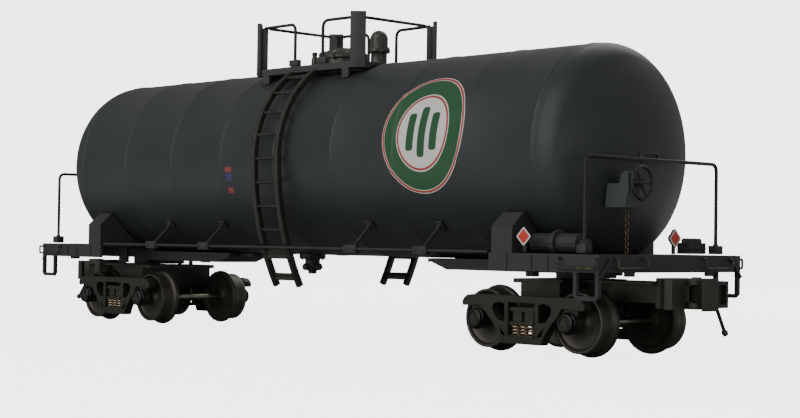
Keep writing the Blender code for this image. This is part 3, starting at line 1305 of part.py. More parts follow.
def make_truck(name_end, end):
    centre_x = end * TRUCK_CENTRES / 2
    truck = pivot("truck_pin_" + name_end, (centre_x, 0, TRUCK_TOP))
    make_bolster("bolster_" + name_end, end, centre_x, truck)
    make_coupler(name_end, end, centre_x, truck)
    for side, word in ((-1, "near"), (1, "far")):
        make_sideframe("sideframe_" + name_end + "_" + word, side, centre_x, truck)
        make_springs("springs_" + name_end + "_" + word, side, centre_x, truck)
    for hand, word in ((1, "outer"), (-1, "inner")):
        make_wheelset(name_end, word, centre_x + end * hand * WHEELBASE / 2, truck)


def main():
    make_tank()
    for name_end, turn in (("b", kept), ("a", flipped)):
        make_deck("deck_" + name_end, turn)
        make_stub_sill("stub_sill_" + name_end, turn)
        make_end_handrail("end_handrail_" + name_end, turn)
        make_placards(name_end, turn)
    make_brake_gear()
    make_deck_fittings()
    make_outlet()
    make_top_fittings()
    for side, word in ((-1, "near"), (1, "far")):
        make_side_pipe(side)
        make_ladder(side)
        make_platform(side)
        for end, name_end in ((1, "b"), (-1, "a")):
            make_post("platform_post_" + name_end + "_" + word, end, side)
    for end, name_end in ((1, "b"), (-1, "a")):
        make_end_rail("platform_end_rail_" + name_end, end)
        make_truck(name_end, end)


main()
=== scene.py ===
# %% [markdown]
# This lesson dresses a model tank car about a foot long. Its solids come from the CAD with their real sizes
# and joints. They could be made again here, but then two versions of every size would have to agree. So
# the scene loads them and adds only fine shapes and finishes.

# %% Load the imported car
import math

import bmesh
import bpy
import numpy as np
from mathutils import Matrix, Vector


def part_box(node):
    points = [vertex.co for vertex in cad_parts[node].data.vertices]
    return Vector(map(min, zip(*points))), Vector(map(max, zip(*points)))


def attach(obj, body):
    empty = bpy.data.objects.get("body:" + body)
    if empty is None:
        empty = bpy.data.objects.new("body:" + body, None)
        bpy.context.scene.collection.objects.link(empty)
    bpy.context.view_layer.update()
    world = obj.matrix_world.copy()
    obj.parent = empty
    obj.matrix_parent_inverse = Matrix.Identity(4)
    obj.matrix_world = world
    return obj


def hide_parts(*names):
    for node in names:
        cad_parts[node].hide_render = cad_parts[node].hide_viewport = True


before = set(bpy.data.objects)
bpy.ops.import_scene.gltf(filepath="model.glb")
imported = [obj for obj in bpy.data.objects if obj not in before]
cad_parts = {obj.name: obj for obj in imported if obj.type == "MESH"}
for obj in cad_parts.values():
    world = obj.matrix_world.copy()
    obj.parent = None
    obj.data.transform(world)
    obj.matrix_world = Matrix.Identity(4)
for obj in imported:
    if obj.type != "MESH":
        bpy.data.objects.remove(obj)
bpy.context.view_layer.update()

mm = 0.001

# %% [markdown]
# The camera comes first, because every later choice is judged through it. The photograph looks along the
# car from beyond its brake-wheel end, on the near side, hardly higher than the decks. A lens of a little over
# 70 mm and a small roll put the tank's ends, the ladder and the couplers where the photograph has them.
# The place and the angles are real sizes in the car's own frame, not numbers of pixels.

# %% Camera
photo_width, focal_pixels = 800, 1620.5
camera_place = Vector((438.83, -394.71, 34.50)) * mm
azimuth, elevation, roll = np.radians([-43.95, -1.105, 0.827])
forward = -np.array([math.cos(elevation) * math.cos(azimuth), math.cos(elevation) * math.sin(azimuth),
                     math.sin(elevation)])
level = np.cross(forward, [0, 0, 1])
level /= np.linalg.norm(level)
upright = np.cross(level, forward)
right = math.cos(roll) * level + math.sin(roll) * upright
up = math.cos(roll) * upright - math.sin(roll) * level


def stand(name, data):
    """A new object for a mesh, a lamp or a camera, linked into the scene."""
    made = bpy.data.objects.new(name, data)
    bpy.context.scene.collection.objects.link(made)
    return made


lens = bpy.data.cameras.new("view")
lens.sensor_width = 36
lens.lens = lens.sensor_width * focal_pixels / photo_width
lens.clip_start = 0.01
camera = stand("view", lens)
camera.matrix_world = Matrix(np.vstack([np.column_stack([right, up, -forward, camera_place]), [0, 0, 0, 1]]))
bpy.context.scene.camera = camera
print("camera", round(lens.lens, 2), "mm")

# %% [markdown]
# Materials, the floor and the sky are all trees of nodes. Each could be built by hand in the editor, but
# two small functions keep a tree readable in text: one sets sockets and one adds a node.

# %% Nodes by hand
def feed(sockets, values):
    """Sets sockets by name, each to a plain value or to the output that feeds it."""
    for name, value in dict(values).items():
        if isinstance(value, bpy.types.NodeSocket):
            value.id_data.links.new(value, sockets[name])
        else:
            sockets[name].default_value = value


def put(tree, kind, values=(), **settings):
    """A shader node with its settings and its inputs."""
    made = tree.nodes.new("ShaderNode" + kind)
    for name, value in settings.items():
        setattr(made, name, value)
    feed(made.inputs, values)
    return made


def by_ray(tree, others, camera):
    """A strength that Light Path gives to rays from the camera, and another for all other rays."""
    ray = put(tree, "LightPath").outputs["Is Camera Ray"]
    return put(tree, "MapRange", {"Value": ray, "To Min": others, "To Max": camera}).outputs["Result"]


print("node helpers ready")

# %% [markdown]
# A product photograph like this one is lit by large soft sources on white. A dark car on a bright floor
# would pick up far more light from below than the real one does. So the paper and the sky look brighter to
# the camera than to the car, and the paper is darker in a soft band under the car and pale beyond it. A few
# area lights then shape the tank: a big one high in front, a weak one low beyond the brake-wheel end, and one
# behind for the pale band along the top.

# %% Floor and lights
white = (1, 1, 1, 1)
world = bpy.data.worlds.new("studio")
bpy.context.scene.world = world
world.use_nodes = True
sky = world.node_tree
feed(sky.nodes["Background"].inputs, {"Strength": by_ray(sky, 0.26, 4.0), "Color": white})

floor_reach = 6
floor_mesh = bpy.data.meshes.new("floor")
floor_mesh.from_pydata([(floor_reach * x, floor_reach * y, 0) for x, y in ((-1, -1), (1, -1), (1, 1), (-1, 1))],
                       [], [(0, 1, 2, 3)])
paper = bpy.data.materials.new("floor_paper")
paper.use_nodes = True
tree = paper.node_tree
off_axis = put(tree, "SeparateXYZ", {0: put(tree, "TexCoord").outputs["Object"]}).outputs["Y"]
off_axis = put(tree, "Math", {0: off_axis}, operation="ABSOLUTE").outputs[0]
tone = put(tree, "MapRange", {"Value": off_axis, "From Min": 0.05, "From Max": 0.12, "To Min": 0.22,
                              "To Max": 0.92}, interpolation_type="SMOOTHSTEP").outputs[0]
feed(tree.nodes["Principled BSDF"].inputs, {"Base Color": tone, "Roughness": 0.9, "Emission Color": white,
                                            "Emission Strength": by_ray(tree, 0, 3.6)})
floor_mesh.materials.append(paper)
floor = stand("floor", floor_mesh)

tank_middle = Vector((0, 0, 0.06))
lamps = (("light_front", (0.05, -1.1, 0.55), 1.5, 8.4),  # name, place, size in metres, power in watts
         ("light_end", (0.9, -0.25, 0.12), 0.4, 0.35),
         ("light_back", (-0.2, 0.8, 0.9), 0.8, 3))
for name, place, size, power in lamps:
    lamp = bpy.data.lights.new(name, "AREA")
    lamp.size, lamp.energy = size, power
    made = stand(name, lamp)
    made.location = place
    made.rotation_euler = (tank_middle - Vector(place)).to_track_quat("-Z", "Y").to_euler()
print("lights:", len(lamps))

# %% [markdown]
# Every new piece below is a grid of points worked out by a formula: rows one way, columns the other.
# The car is full of round things, so the helpers turn such a grid into a closed piece, join the points
# that fall together at poles and seams, and turn every face outwards.

# %% Grids into pieces
def grid_faces(rows, columns, close_rows=False):
    """Quads of a grid whose point (i, j) has number i * columns + j; columns, and rows if asked, close up."""
    i, j = np.arange(rows if close_rows else rows - 1), np.arange(columns)
    i, j = [part.ravel() for part in np.meshgrid(i, j, indexing="ij")]
    below, beside = (i + 1) % rows * columns, (j + 1) % columns
    return np.stack([i * columns + j, below + j, below + beside, i * columns + beside], 1).tolist()


def caps(rows, columns):
    """The two faces that close the first and the last row of a grid."""
    return [list(range(columns)), list(range((rows - 1) * columns, rows * columns))]


def add_piece(name, parts, finish, body, replaced=(), smooth_angle=35):
    """One object from several (points, faces) parts, cleaned, shaded smooth and riding on a body."""
    shape = bmesh.new()
    for points, faces in parts:
        mesh = bpy.data.meshes.new("part")
        mesh.from_pydata(np.asarray(points).reshape(-1, 3).tolist(), [], faces)
        shape.from_mesh(mesh)
        bpy.data.meshes.remove(mesh)
    bmesh.ops.remove_doubles(shape, verts=shape.verts, dist=1e-7)
    bmesh.ops.dissolve_degenerate(shape, edges=shape.edges, dist=1e-8)
    bmesh.ops.recalc_face_normals(shape, faces=shape.faces)
    mesh = bpy.data.meshes.new(name)
    shape.to_mesh(mesh)
    shape.free()
    mesh.materials.append(finish)
    mesh.shade_smooth()
    mesh.set_sharp_from_angle(angle=math.radians(smooth_angle))
    made = stand(name, mesh)
    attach(made, body)
    if replaced:
        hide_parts(*replaced)
    return made


print("a grid of 3 rows and 8 columns has", len(grid_faces(3, 8)), "faces and", len(caps(3, 8)), "caps")

# %% [markdown]
# Most forms on a rail car are turned, like wheels, domes and the tank itself. Blender has a Screw modifier
# for that, but a formula gives the exact size: each point of a profile goes round a circle.

# %% Turning
def lathe(profile, axis="z", centre=(0, 0, 0), columns=64, ring=False):
    """Points (r cos a, r sin a, h) about an axis for each (r, h) of a profile: capped, or closed as a ring."""
    profile = np.asarray(profile, float)
    angles = np.linspace(0, 2 * np.pi, columns, endpoint=False)
    radius, height = profile[:, :1], profile[:, 1:2]
    around = [radius * np.cos(angles), radius * np.sin(angles), height + 0 * angles]
    order = {"z": (0, 1, 2), "x": (2, 0, 1), "y": (1, 2, 0)}[axis]
    points = np.stack([around[index] for index in order], -1) + np.asarray(centre, float)
    faces = grid_faces(len(profile), columns, ring)
    if not ring:
        faces += [cap for cap, row in zip(caps(len(profile), columns), (0, -1)) if profile[row, 0] > 0]
    return points, faces


print("a turned cone has", len(lathe([(0, 1), (1, 0)])[1]), "faces")

# %% [markdown]
# Wires, rims and bars keep one section along a line, as if drawn through a die. A curve with a bevel would do
# this too. Here the section is set square to the line at each point, and corners of the line get a bend.

# %% Sweeping
def sweep(path, section, facing=(0, 0, 1), closed=False):
    """A section (a, b) carried along a path: points p + a s + b u, where s lies square to the path and to the
    facing direction, and u is square to both."""
    path, section = np.asarray(path, float), np.asarray(section, float)
    along = np.roll(path, -1, 0) - np.roll(path, 1, 0) if closed else np.gradient(path, axis=0)
    along /= np.linalg.norm(along, axis=1, keepdims=True)
    side = np.cross(along, np.broadcast_to(np.asarray(facing, float), path.shape))
    side /= np.linalg.norm(side, axis=1, keepdims=True)
    over = np.cross(side, along)
    points = path[:, None] + section[None, :, :1] * side[:, None] + section[None, :, 1:] * over[:, None]
    ends = [] if closed else caps(len(path), len(section))
    return points, grid_faces(len(path), len(section), closed) + ends


def circle(radius, sides=16):
    """A round section of (a, b) points."""
    angles = np.linspace(0, 2 * np.pi, sides, endpoint=False)
    return radius * np.stack([np.cos(angles), np.sin(angles)], 1)


def quarters(steps):
    """The angles of four quarter circles in turn, each with its own first and last point."""
    return np.concatenate([np.linspace(start, start + np.pi / 2, steps) for start in np.arange(4) * np.pi / 2])


def rounded_rectangle(width, height, corner, steps=3):
    """A rectangular section with its corners turned by quarter circles."""
    angles = quarters(steps)
    signs = np.repeat([[1, 1], [-1, 1], [-1, -1], [1, -1]], steps, 0)
    middle = signs * (np.array([width, height]) / 2 - corner)
    return middle + corner * np.stack([np.cos(angles), np.sin(angles)], 1)


def bend(points, reach, steps=8):
    """A line of points whose corners turn by parabolas that start and end a reach away from each corner."""
    points = np.asarray(points, float)
    line = [points[:1]]
    share = np.linspace(0, 1, steps)[:, None]
    for before, corner, after in zip(points, points[1:], points[2:]):
        start = corner + (before - corner) / np.linalg.norm(before - corner) * reach
        end = corner + (after - corner) / np.linalg.norm(after - corner) * reach
        line.append(start * (1 - share) ** 2 + corner * 2 * share * (1 - share) + end * share ** 2)
    return np.concatenate(line + [points[-1:]])


print("a round section has", len(circle(1)), "points")

# %% [markdown]
# Feet, clamps and plates are small boxes, and a box with sharp edges looks like paper. A Bevel modifier would
# round it. The formula below is as short: it pulls the eight parts of a sphere out to the box's corners.

# %% Rounded boxes
def block(low, high, corner, steps=3):
    """A box with rounded edges: each direction of a sphere, times the corner's radius, set out from the nearest
    corner of the box drawn in by that radius."""
    low, high = np.minimum(low, high).astype(float), np.maximum(low, high).astype(float)
    half, middle = (high - low) / 2 - corner, (high + low) / 2
    rises = np.concatenate([np.linspace(-np.pi / 2, 0, steps), np.linspace(0, np.pi / 2, steps)])
    turn, rise = np.meshgrid(quarters(steps), rises)
    rows, columns = turn.shape
    x = middle[0] + np.repeat([1, -1, -1, 1], steps) * half[0] + corner * np.cos(turn) * np.cos(rise)
    y = middle[1] + np.repeat([1, 1, -1, -1], steps) * half[1] + corner * np.sin(turn) * np.cos(rise)
    z = middle[2] + np.repeat([-1, 1], steps)[:, None] * half[2] + corner * np.sin(rise)
    ends = [cap[::steps] for cap in caps(rows, columns)]
    return np.stack([x, y, z], -1), grid_faces(rows, columns) + ends


def block_at(middle, half, corner):
    """A rounded block from its middle and its half sizes."""
    middle, half = np.asarray(middle, float), np.asarray(half, float)
    return block(middle - half, middle + half, corner)


print("a rounded box has", len(block((0, 0, 0), (1, 1, 1), 0.1)[1]), "faces")

# %% [markdown]
# What stands at one end of the car stands at the other too, turned half round. What is on the near side is on
# the far side in the same way. So a part is made once and its points are turned by a matrix.

# %% Turned copies
def moved(part, step=(0, 0, 0), turn=None):
    """The same part turned by a 3 x 3 matrix about the origin and then moved by a step."""
    points, faces = part
    points = np.asarray(points).reshape(-1, 3)
    if turn is not None:
        points = points @ np.asarray(turn, float).T
    return points + np.asarray(step, float), faces


as_made, half_turn = np.eye(3), np.diag([-1.0, -1.0, 1.0])
both_ends = (("b", as_made), ("a", half_turn))
both_sides = (("near", as_made), ("far", half_turn))
hands = ((-1, "near"), (1, "far"))


def turned(parts, turn):
    """All parts of a list, turned by a matrix."""
    return [moved(part, turn=turn) for part in parts]


print("helpers ready")

# %% [markdown]
# Finishes are sums: this much of one colour where a noise is high, that much dust where a face looks up. Each
# sum could be wired by hand from three or four nodes. A few named functions say the same in one line.

# %% Sums of nodes
def calculate(operation, first, second):
    """One number worked out from an output and a second output or value."""
    return put(first.id_data, "Math", {0: first, 1: second}, operation=operation).outputs[0]


def product(first, second):
    """Two numbers multiplied."""
    return calculate("MULTIPLY", first, second)


def blended(share, first, second):
    """A colour between two, by a share."""
    return put(share.id_data, "Mix", {0: share, 6: first, 7: second}, data_type="RGBA").outputs[2]


def noise(place, scale, detail):
    """A cloud noise from 0 to 1 at a place, with a scale in patches a metre."""
    return put(place.id_data, "TexNoise", {"Vector": place, "Scale": scale, "Detail": detail,
                                           "Roughness": 0.55}).outputs["Fac"]


def stretched(value, low, high):
    """The part of a value between low and high, drawn out to run from 0 to 1."""
    return put(value.id_data, "MapRange", {"Value": value, "From Min": low, "From Max": high}).outputs["Result"]


def new_group(name, colours, numbers):
    """A node group with colour and number inputs, and with the three outputs that every finish here uses."""
    group = bpy.data.node_groups.new(name, "ShaderNodeTree")
    sockets = [(title, "INPUT", "Color") for title in colours] + [(title, "INPUT", "Float") for title in numbers]
    sockets += [("Color", "OUTPUT", "Color"), ("Roughness", "OUTPUT", "Float"), ("Height", "OUTPUT", "Float")]
    for title, way, kind in sockets:
        group.interface.new_socket(title, in_out=way, socket_type="NodeSocket" + kind)
    return group, group.nodes.new("NodeGroupInput").outputs, group.nodes.new("NodeGroupOutput").inputs


print("sums ready")

# %% [markdown]
# The finishes of a model like this are thin sprays of satin paint on plastic and on die-cast metal. Up
# close no such paint is one flat colour: it has a faint mottle, a little dust where it looks up, and a
# fine skin that breaks up the shine. These effects are the same on every painted piece, only stronger or
# weaker, so they go into one node group that each paint feeds with its own colours and amounts.

# %% The painted skin
painted_skin, given, made_of = new_group(
    "painted_skin", ("Paint", "Worn", "Dust"),
    ("Patches", "Worn Share", "Dust Share", "Roughness", "Spread", "Grain"))
here = put(painted_skin, "TexCoord").outputs["Object"]
normal = put(painted_skin, "NewGeometry").outputs["Normal"]
upward = put(painted_skin, "SeparateXYZ", {0: normal}).outputs["Z"]
cloud = noise(here, given["Patches"], 6)
specks = stretched(noise(here, product(given["Patches"], 14.0), 3), 0.52, 0.72)
dusty = product(stretched(upward, 0.25, 1.0), product(given["Dust Share"], stretched(cloud, 0.25, 0.7)))
worn = product(given["Worn Share"], calculate("MAXIMUM", stretched(cloud, 0.45, 0.75), product(specks, 0.6)))
uneven = product(given["Spread"], calculate("SUBTRACT", cloud, 0.5))
feed(made_of, {
    "Color": blended(dusty, blended(worn, given["Paint"], given["Worn"]), given["Dust"]),
    "Roughness": calculate("ADD", given["Roughness"], calculate("ADD", product(dusty, 0.5), uneven)),
    "Height": noise(here, given["Grain"], 2)})
print("painted skin:", len(painted_skin.nodes), "nodes")

# %% [markdown]
# A paint is the painted skin with its own numbers. The skin's height drives a bump of a few hundredths of a
# millimetre, because real geometry that fine would cost millions of faces for a shine that only breaks up.

# %% Paints
dust_colour = (0.16, 0.155, 0.14, 1)
fine, cast = 0.00002, 0.00005  # depth of the skin's bump in metres, on sprayed plastic and on castings


def finished(name, group, values, colour, metallic, strength, depth):
    """A material whose group drives colour, roughness and a bump of a given depth in metres."""
    finish = bpy.data.materials.new(name)
    finish.use_nodes = True
    tree = finish.node_tree
    skin = put(tree, "Group", values, node_tree=group).outputs
    bump = put(tree, "Bump", {"Height": skin["Height"], "Strength": strength, "Distance": depth})
    feed(tree.nodes["Principled BSDF"].inputs, {"Base Color": skin["Color"], "Roughness": skin["Roughness"],
                                                "Normal": bump.outputs["Normal"], "Metallic": metallic})
    finish.diffuse_color = (*colour, 1)
    return finish


def paint(name, colour, worn, worn_share, patches, dust, roughness, spread, grain, depth=fine, metallic=0.0):
    """A satin paint: two colours, how much of the worn one and of dust shows, and how rough and fine it is."""
    values = {"Paint": (*colour, 1), "Worn": (*worn, 1), "Dust": dust_colour, "Patches": patches,
              "Worn Share": worn_share, "Dust Share": dust, "Roughness": roughness, "Spread": spread,
              "Grain": grain}
    return finished(name, painted_skin, values, colour, metallic, 0.5, depth)


tank_paint = paint("tank_satin", (0.032, 0.038, 0.0385), (0.038, 0.044, 0.045), 0.5, 22, 0.10, 0.42, 0.12, 1800)
deck_paint = paint("deck_matt", (0.037, 0.037, 0.040), (0.052, 0.052, 0.054), 0.35, 70, 0.18, 0.55, 0.2, 2600)
fitting_paint = paint("fitting_satin", (0.024, 0.024, 0.018), (0.075, 0.066, 0.045), 0.40, 260, 0.10, 0.42,
                      0.3, 3000)
ladder_paint = paint("ladder_satin", (0.021, 0.021, 0.016), (0.085, 0.077, 0.053), 0.45, 260, 0.10, 0.42,
                     0.3, 3000)
rail_paint = paint("rail_satin", (0.009, 0.009, 0.008), (0.022, 0.021, 0.017), 0.25, 200, 0.08, 0.4, 0.25, 3000)
platform_paint = paint("platform_satin", (0.048, 0.051, 0.048), (0.066, 0.067, 0.060), 0.3, 90, 0.15, 0.5,
                       0.2, 2600)
housing_paint = paint("housing_satin", (0.046, 0.056, 0.058), (0.075, 0.085, 0.088), 0.35, 120, 0.1, 0.45,
                      0.2, 2600)
truck_casting = paint("truck_casting_paint", (0.033, 0.034, 0.025), (0.062, 0.060, 0.046), 0.45, 120, 0.16,
                      0.42, 0.25, 3600, cast, 0.2)
hand_wheel_paint = paint("hand_wheel_paint", (0.017, 0.015, 0.012), (0.085, 0.070, 0.045), 0.45, 380, 0.10,
                         0.42, 0.2, 3000)
# Painted light: a lighter copy of the truck casting paint, so the couplers under the decks read brighter than the
# lamps leave them.
coupler_painted_light = paint("coupler_casting_painted_light", (0.066, 0.066, 0.050), (0.140, 0.130, 0.098), 0.55, 120, 0.16,
                      0.40, 0.25, 3600, cast, 0.2)
bearing_black = paint("bearing_black", (0.008, 0.008, 0.007), (0.03, 0.03, 0.026), 0.3, 200, 0.04, 0.20, 0.2,
                      3000)
# The golden patches of this paint are partly wear and partly painted glints on the wires.
grab_wear_and_glint_paint = paint("grab_iron_wear_and_glint", (0.050, 0.044, 0.030), (0.26, 0.20, 0.11), 0.55, 420, 0.04, 0.36, 0.25,
                   3000, metallic=0.4)
pewter = paint("valve_pewter_paint", (0.085, 0.082, 0.068), (0.15, 0.14, 0.115), 0.5, 240, 0.12, 0.30, 0.25,
               3000, 0.00003, 0.45)
chain_metal = paint("chain_metal", (0.10, 0.075, 0.035), (0.28, 0.20, 0.10), 0.7, 500, 0.0, 0.35, 0.2, 3000,
                    metallic=0.7)
print("paints ready")

# %% [markdown]
# Bare metal differs from paint: it is bright where a tool or a wheel has rubbed it, and the tool leaves
# rings. A wheel is turned on a lathe, so its rings run round the axle. The piece stores each point's
# distance from the axle as an attribute, and the material makes fine waves from that distance.

# %% Turned metal
turned_metal, given, made_of = new_group("turned_metal", ("Metal", "Bright"),
                                         ("Rings", "Patches", "Bright Share", "Roughness"))
radius = put(turned_metal, "Attribute", attribute_name="ring_radius").outputs["Fac"]
ring = put(turned_metal, "Math", {0: product(radius, given["Rings"])}, operation="SINE").outputs[0]
cloud = noise(put(turned_metal, "TexCoord").outputs["Object"], given["Patches"], 5)
rubbed = product(given["Bright Share"], calculate("ADD", stretched(cloud, 0.4, 0.75), product(ring, 0.15)))
feed(made_of, {
    "Color": blended(rubbed, given["Metal"], given["Bright"]),
    "Roughness": calculate("ADD", given["Roughness"], product(calculate("SUBTRACT", cloud, 0.5), 0.25)),
    "Height": calculate("ADD", product(ring, 0.5), cloud)})


def metal(name, colour, bright, bright_share, rings, patches, roughness, metallic=1.0):
    """A bare or blackened metal: two colours, how much of the bright one shows, and its rings and patches."""
    values = {"Metal": (*colour, 1), "Bright": (*bright, 1), "Rings": rings, "Patches": patches,
              "Bright Share": bright_share, "Roughness": roughness}
    return finished(name, turned_metal, values, colour, metallic, 0.4, fine)


wheel_metal = metal("wheel_blackened", (0.080, 0.075, 0.058), (0.18, 0.168, 0.132), 0.5, 9000, 180, 0.42, 0.6)
axle_steel = metal("axle_bright", (0.30, 0.27, 0.22), (0.75, 0.70, 0.60), 0.5, 6000, 200, 0.28)
spring_bronze = metal("spring_bronze", (0.55, 0.42, 0.28), (0.95, 0.80, 0.62), 0.6, 0, 700, 0.22)
print("metals ready")

# %% [markdown]
# The round badge is made of printed films, and the small placards are enamelled plates. They hardly wear, and
# a thin clear coat makes their colours look deep. So they are the same paint, with less of everything and a
# little coat on top.

# %% Films and enamels
def film(name, colour, roughness=0.35):
    """A printed film or an enamel: the painted skin with hardly any wear, under a thin clear coat."""
    worn = tuple(0.85 * part for part in colour)
    finish = paint(name, colour, worn, 0.35, 160, 0.04, roughness, 0.1, 3000, 0.00001)
    finish.node_tree.nodes["Principled BSDF"].inputs["Coat Weight"].default_value = 0.06
    return finish


film_white = film("film_white", (0.86, 0.84, 0.80))
film_green = film("film_green", (0.022, 0.115, 0.040))
film_red = film("film_red", (0.50, 0.075, 0.055))
film_blue = film("film_blue", (0.055, 0.06, 0.22))
enamel_red = film("enamel_red", (0.72, 0.055, 0.028), 0.3)
enamel_white = film("enamel_white", (0.80, 0.78, 0.74), 0.3)
print("films ready")

# %% [markdown]
# The tank is the whole character of the car. The real one is a rolled barrel of eight courses between
# two dished heads. A cylinder with scaled spheres would give the wrong ends, because a pressed head is
# a wide crown arc with a tight knuckle arc at its rim. So the profile is worked out from those arcs,
# with a low bead at each seam, and turned about the tank's axis.

# %% Tank
axis_height = 62.7 * mm
tank_radius, crown_radius, knuckle_radius = 34.0 * mm, 60.0 * mm, 9.0 * mm
tank_top, tank_bottom = axis_height + tank_radius, axis_height - tank_radius
half_barrel, course, courses = 122.0 * mm, 30.0 * mm, 8
bead_half, bead_height = 0.45 * mm, 0.2 * mm
crown_centre = -math.sqrt((crown_radius - knuckle_radius) ** 2 - (tank_radius - knuckle_radius) ** 2)


def head_profile(steps=22):
    """(r, x) from a head's pole to its rim: an arc of radius R about a centre on the axis, then an arc of radius
    k that is tangent to it and to the barrel."""
    knuckle_centre = tank_radius - knuckle_radius
    meet = math.atan2(-crown_centre, knuckle_centre)
    crown, knuckle = np.linspace(np.pi / 2, meet, steps), np.linspace(meet, 0, steps)[1:]
    points = np.concatenate([
        np.stack([crown_radius * np.cos(crown), crown_centre + crown_radius * np.sin(crown)], 1),
        np.stack([knuckle_centre + knuckle_radius * np.cos(knuckle), knuckle_radius * np.sin(knuckle)], 1)])
    points[0, 0] = 0
    return points + [0, half_barrel]


def bead(share):
    """The rise of a seam's bead: h cos^2 of a share from -1 to 1 across it, with no slope at its edges."""
    return bead_height * np.cos(share * np.pi / 2) ** 2


def barrel_profile():
    """(r, x) along the barrel, with nine points across the bead of each seam."""
    seams = course * (courses / 2 - np.arange(courses + 1))
    share = np.linspace(-1, 1, 9)
    x = seams[:, None] - bead_half * share[None, :]
    return np.stack([np.broadcast_to(tank_radius + bead(share), x.shape), x], -1).reshape(-1, 2)


head = head_profile()
tank_profile = np.concatenate([head, barrel_profile(), head[::-1] * [1, -1]])
add_piece("tank_shell", [lathe(tank_profile, "x", (0, 0, axis_height), 176)], tank_paint, "car",
          ["tank"], 60)
print("tank:", len(tank_profile), "rings, length", round(2 * head[0, 1] / mm, 1), "mm")

# %% [markdown]
# A flat rectangular frame is moulded onto the head, higher than the brake wheel. A Shrinkwrap modifier could
# lay it there. But the head is a sphere at that place, so each point of the frame's line is simply set out to
# the depth of that sphere.

# %% Frame on the head
frame_low, frame_high, bar = np.array([-4.0, 58.9]) * mm, np.array([5.5, 62.7]) * mm, 1.1 * mm
frame_line = rounded_rectangle(*(frame_high - frame_low - bar), 0.5 * mm, 6) + (frame_low + frame_high) / 2
reach = np.hypot(frame_line[:, 0], frame_line[:, 1] - axis_height)
frame_x = half_barrel + crown_centre + np.sqrt(crown_radius ** 2 - reach ** 2)
frame_lift = 0.1 * mm
frame_path = np.column_stack([frame_x + frame_lift, frame_line])
add_piece("head_frame", [sweep(frame_path, rounded_rectangle(bar, 1.0 * mm, 0.2 * mm), (1, 0, 0), True)],
          housing_paint, "car")
print("head frame:", len(frame_path), "points")

# %% [markdown]
# Printed films lie on the barrel, about a tenth of a millimetre thick. Painted into the tank's material
# their edges would blur, so they are real thin plates. Each is drawn flat, as an outline times shares from
# 0 to 1, and then laid round the barrel, where flat distance becomes an angle.

# %% Films on the barrel
def even_line(line, places=None, step=0.6 * mm):
    """Points of a line at the given lengths along it, or at an even step all round it when it is closed."""
    length = np.concatenate([[0], np.cumsum(np.hypot(*np.diff(line, axis=0).T))])
    if places is None:
        places = np.linspace(0, length[-1], max(len(line) - 1, int(length[-1] / step)), endpoint=False)
    return np.stack([np.interp(places, length, line[:, 0]), np.interp(places, length, line[:, 1])], 1)


def pad(outline, low, high, rows=10):
    """A flat plate: the outline times shares from 0 to 1 at the top height, and back to 0 at the lower one."""
    outline = even_line(np.concatenate([outline, outline[:1]]))
    shares = np.concatenate([np.linspace(0, 1, rows), np.linspace(1, 0, rows)])[:, None]
    height = np.repeat([high, low], rows)[:, None] + 0 * outline[None, :, 0]
    points = np.stack([shares * outline[None, :, 0], shares * outline[None, :, 1], height], -1)
    return points, grid_faces(2 * rows, len(outline))


def band(inner, outer, high, rows):
    """A flat ring: radii from the inner to the outer one on top and back below, turned as a closed ring."""
    radius = np.concatenate([np.linspace(inner, outer, rows), np.linspace(outer, inner, rows)])
    return lathe(np.column_stack([radius, np.repeat([high, 0], rows)]), columns=240, ring=True)


film_bead_half = 1.2 * mm


def on_barrel(part, x, height):
    """Flat points (a, b, h) laid on the near side: a along the car, b / R as an angle round the tank, h outwards.
    Over a seam the film rises with the bead."""
    points, faces = part
    points = np.asarray(points).reshape(-1, 3)
    turn = math.asin((height - axis_height) / tank_radius) + points[:, 1] / tank_radius
    from_seam = (x + points[:, 0] + course / 2) % course - course / 2
    out = tank_radius + points[:, 2] + bead(np.clip(from_seam / film_bead_half, -1, 1))
    return np.stack([x + points[:, 0], -out * np.cos(turn), axis_height + out * np.sin(turn)], 1), faces


print("a flat ring has", len(band(1, 2, 0, 3)[1]), "faces")

# %% [markdown]
# The badge is a pale disc a little taller than wide, with a thin red rim, a wide green ring and a thin red
# ring inside it, and three green bars in the middle. Each colour is one piece, a little higher than the disc.

# %% Badge
badge_x, badge_height, badge_radius = 73.5 * mm, 69.2 * mm, 18.1 * mm
badge_tall = np.diag([1, 1.115, 1])
film_top, bar_step = 0.13 * mm, 5.2 * mm
bar_outline = rounded_rectangle(3.2 * mm, 11.0 * mm, 0.8 * mm, 5)
rings = {(inner, outer): band(inner * badge_radius, outer * badge_radius, film_top, rows)
         for inner, outer, rows in ((0.95, 0.985, 3), (0.585, 0.62, 3), (0.645, 0.935, 12))}
badge = {
    "base": (film_white, [pad(circle(badge_radius, 180), -0.05 * mm, 0.05 * mm, 32)]),
    "rim": (film_red, [rings[0.95, 0.985], rings[0.585, 0.62]]),
    "band": (film_green, [rings[0.645, 0.935]]),
    "bars": (film_green, [moved(pad(bar_outline * [1, tall], 0, film_top), (step * bar_step, 0, 0))
                          for step, tall in ((-1, 1), (0, 1.35), (1, 1))]),
}
for word, turn in both_sides:
    for piece, (finish, parts) in badge.items():
        laid = [on_barrel(moved(part, turn=badge_tall), badge_x, badge_height) for part in parts]
        add_piece(f"badge_{piece}_{word}", turned(laid, turn), finish, "car", smooth_angle=50)
print("badge:", round(2 * badge_radius / mm, 1), "mm across")

# %% [markdown]
# Left of the ladder is a small label in three rows of stripes. Each stripe is a thin plate, laid on the barrel
# like the badge, because a few plates cost little and stay sharp from any distance.

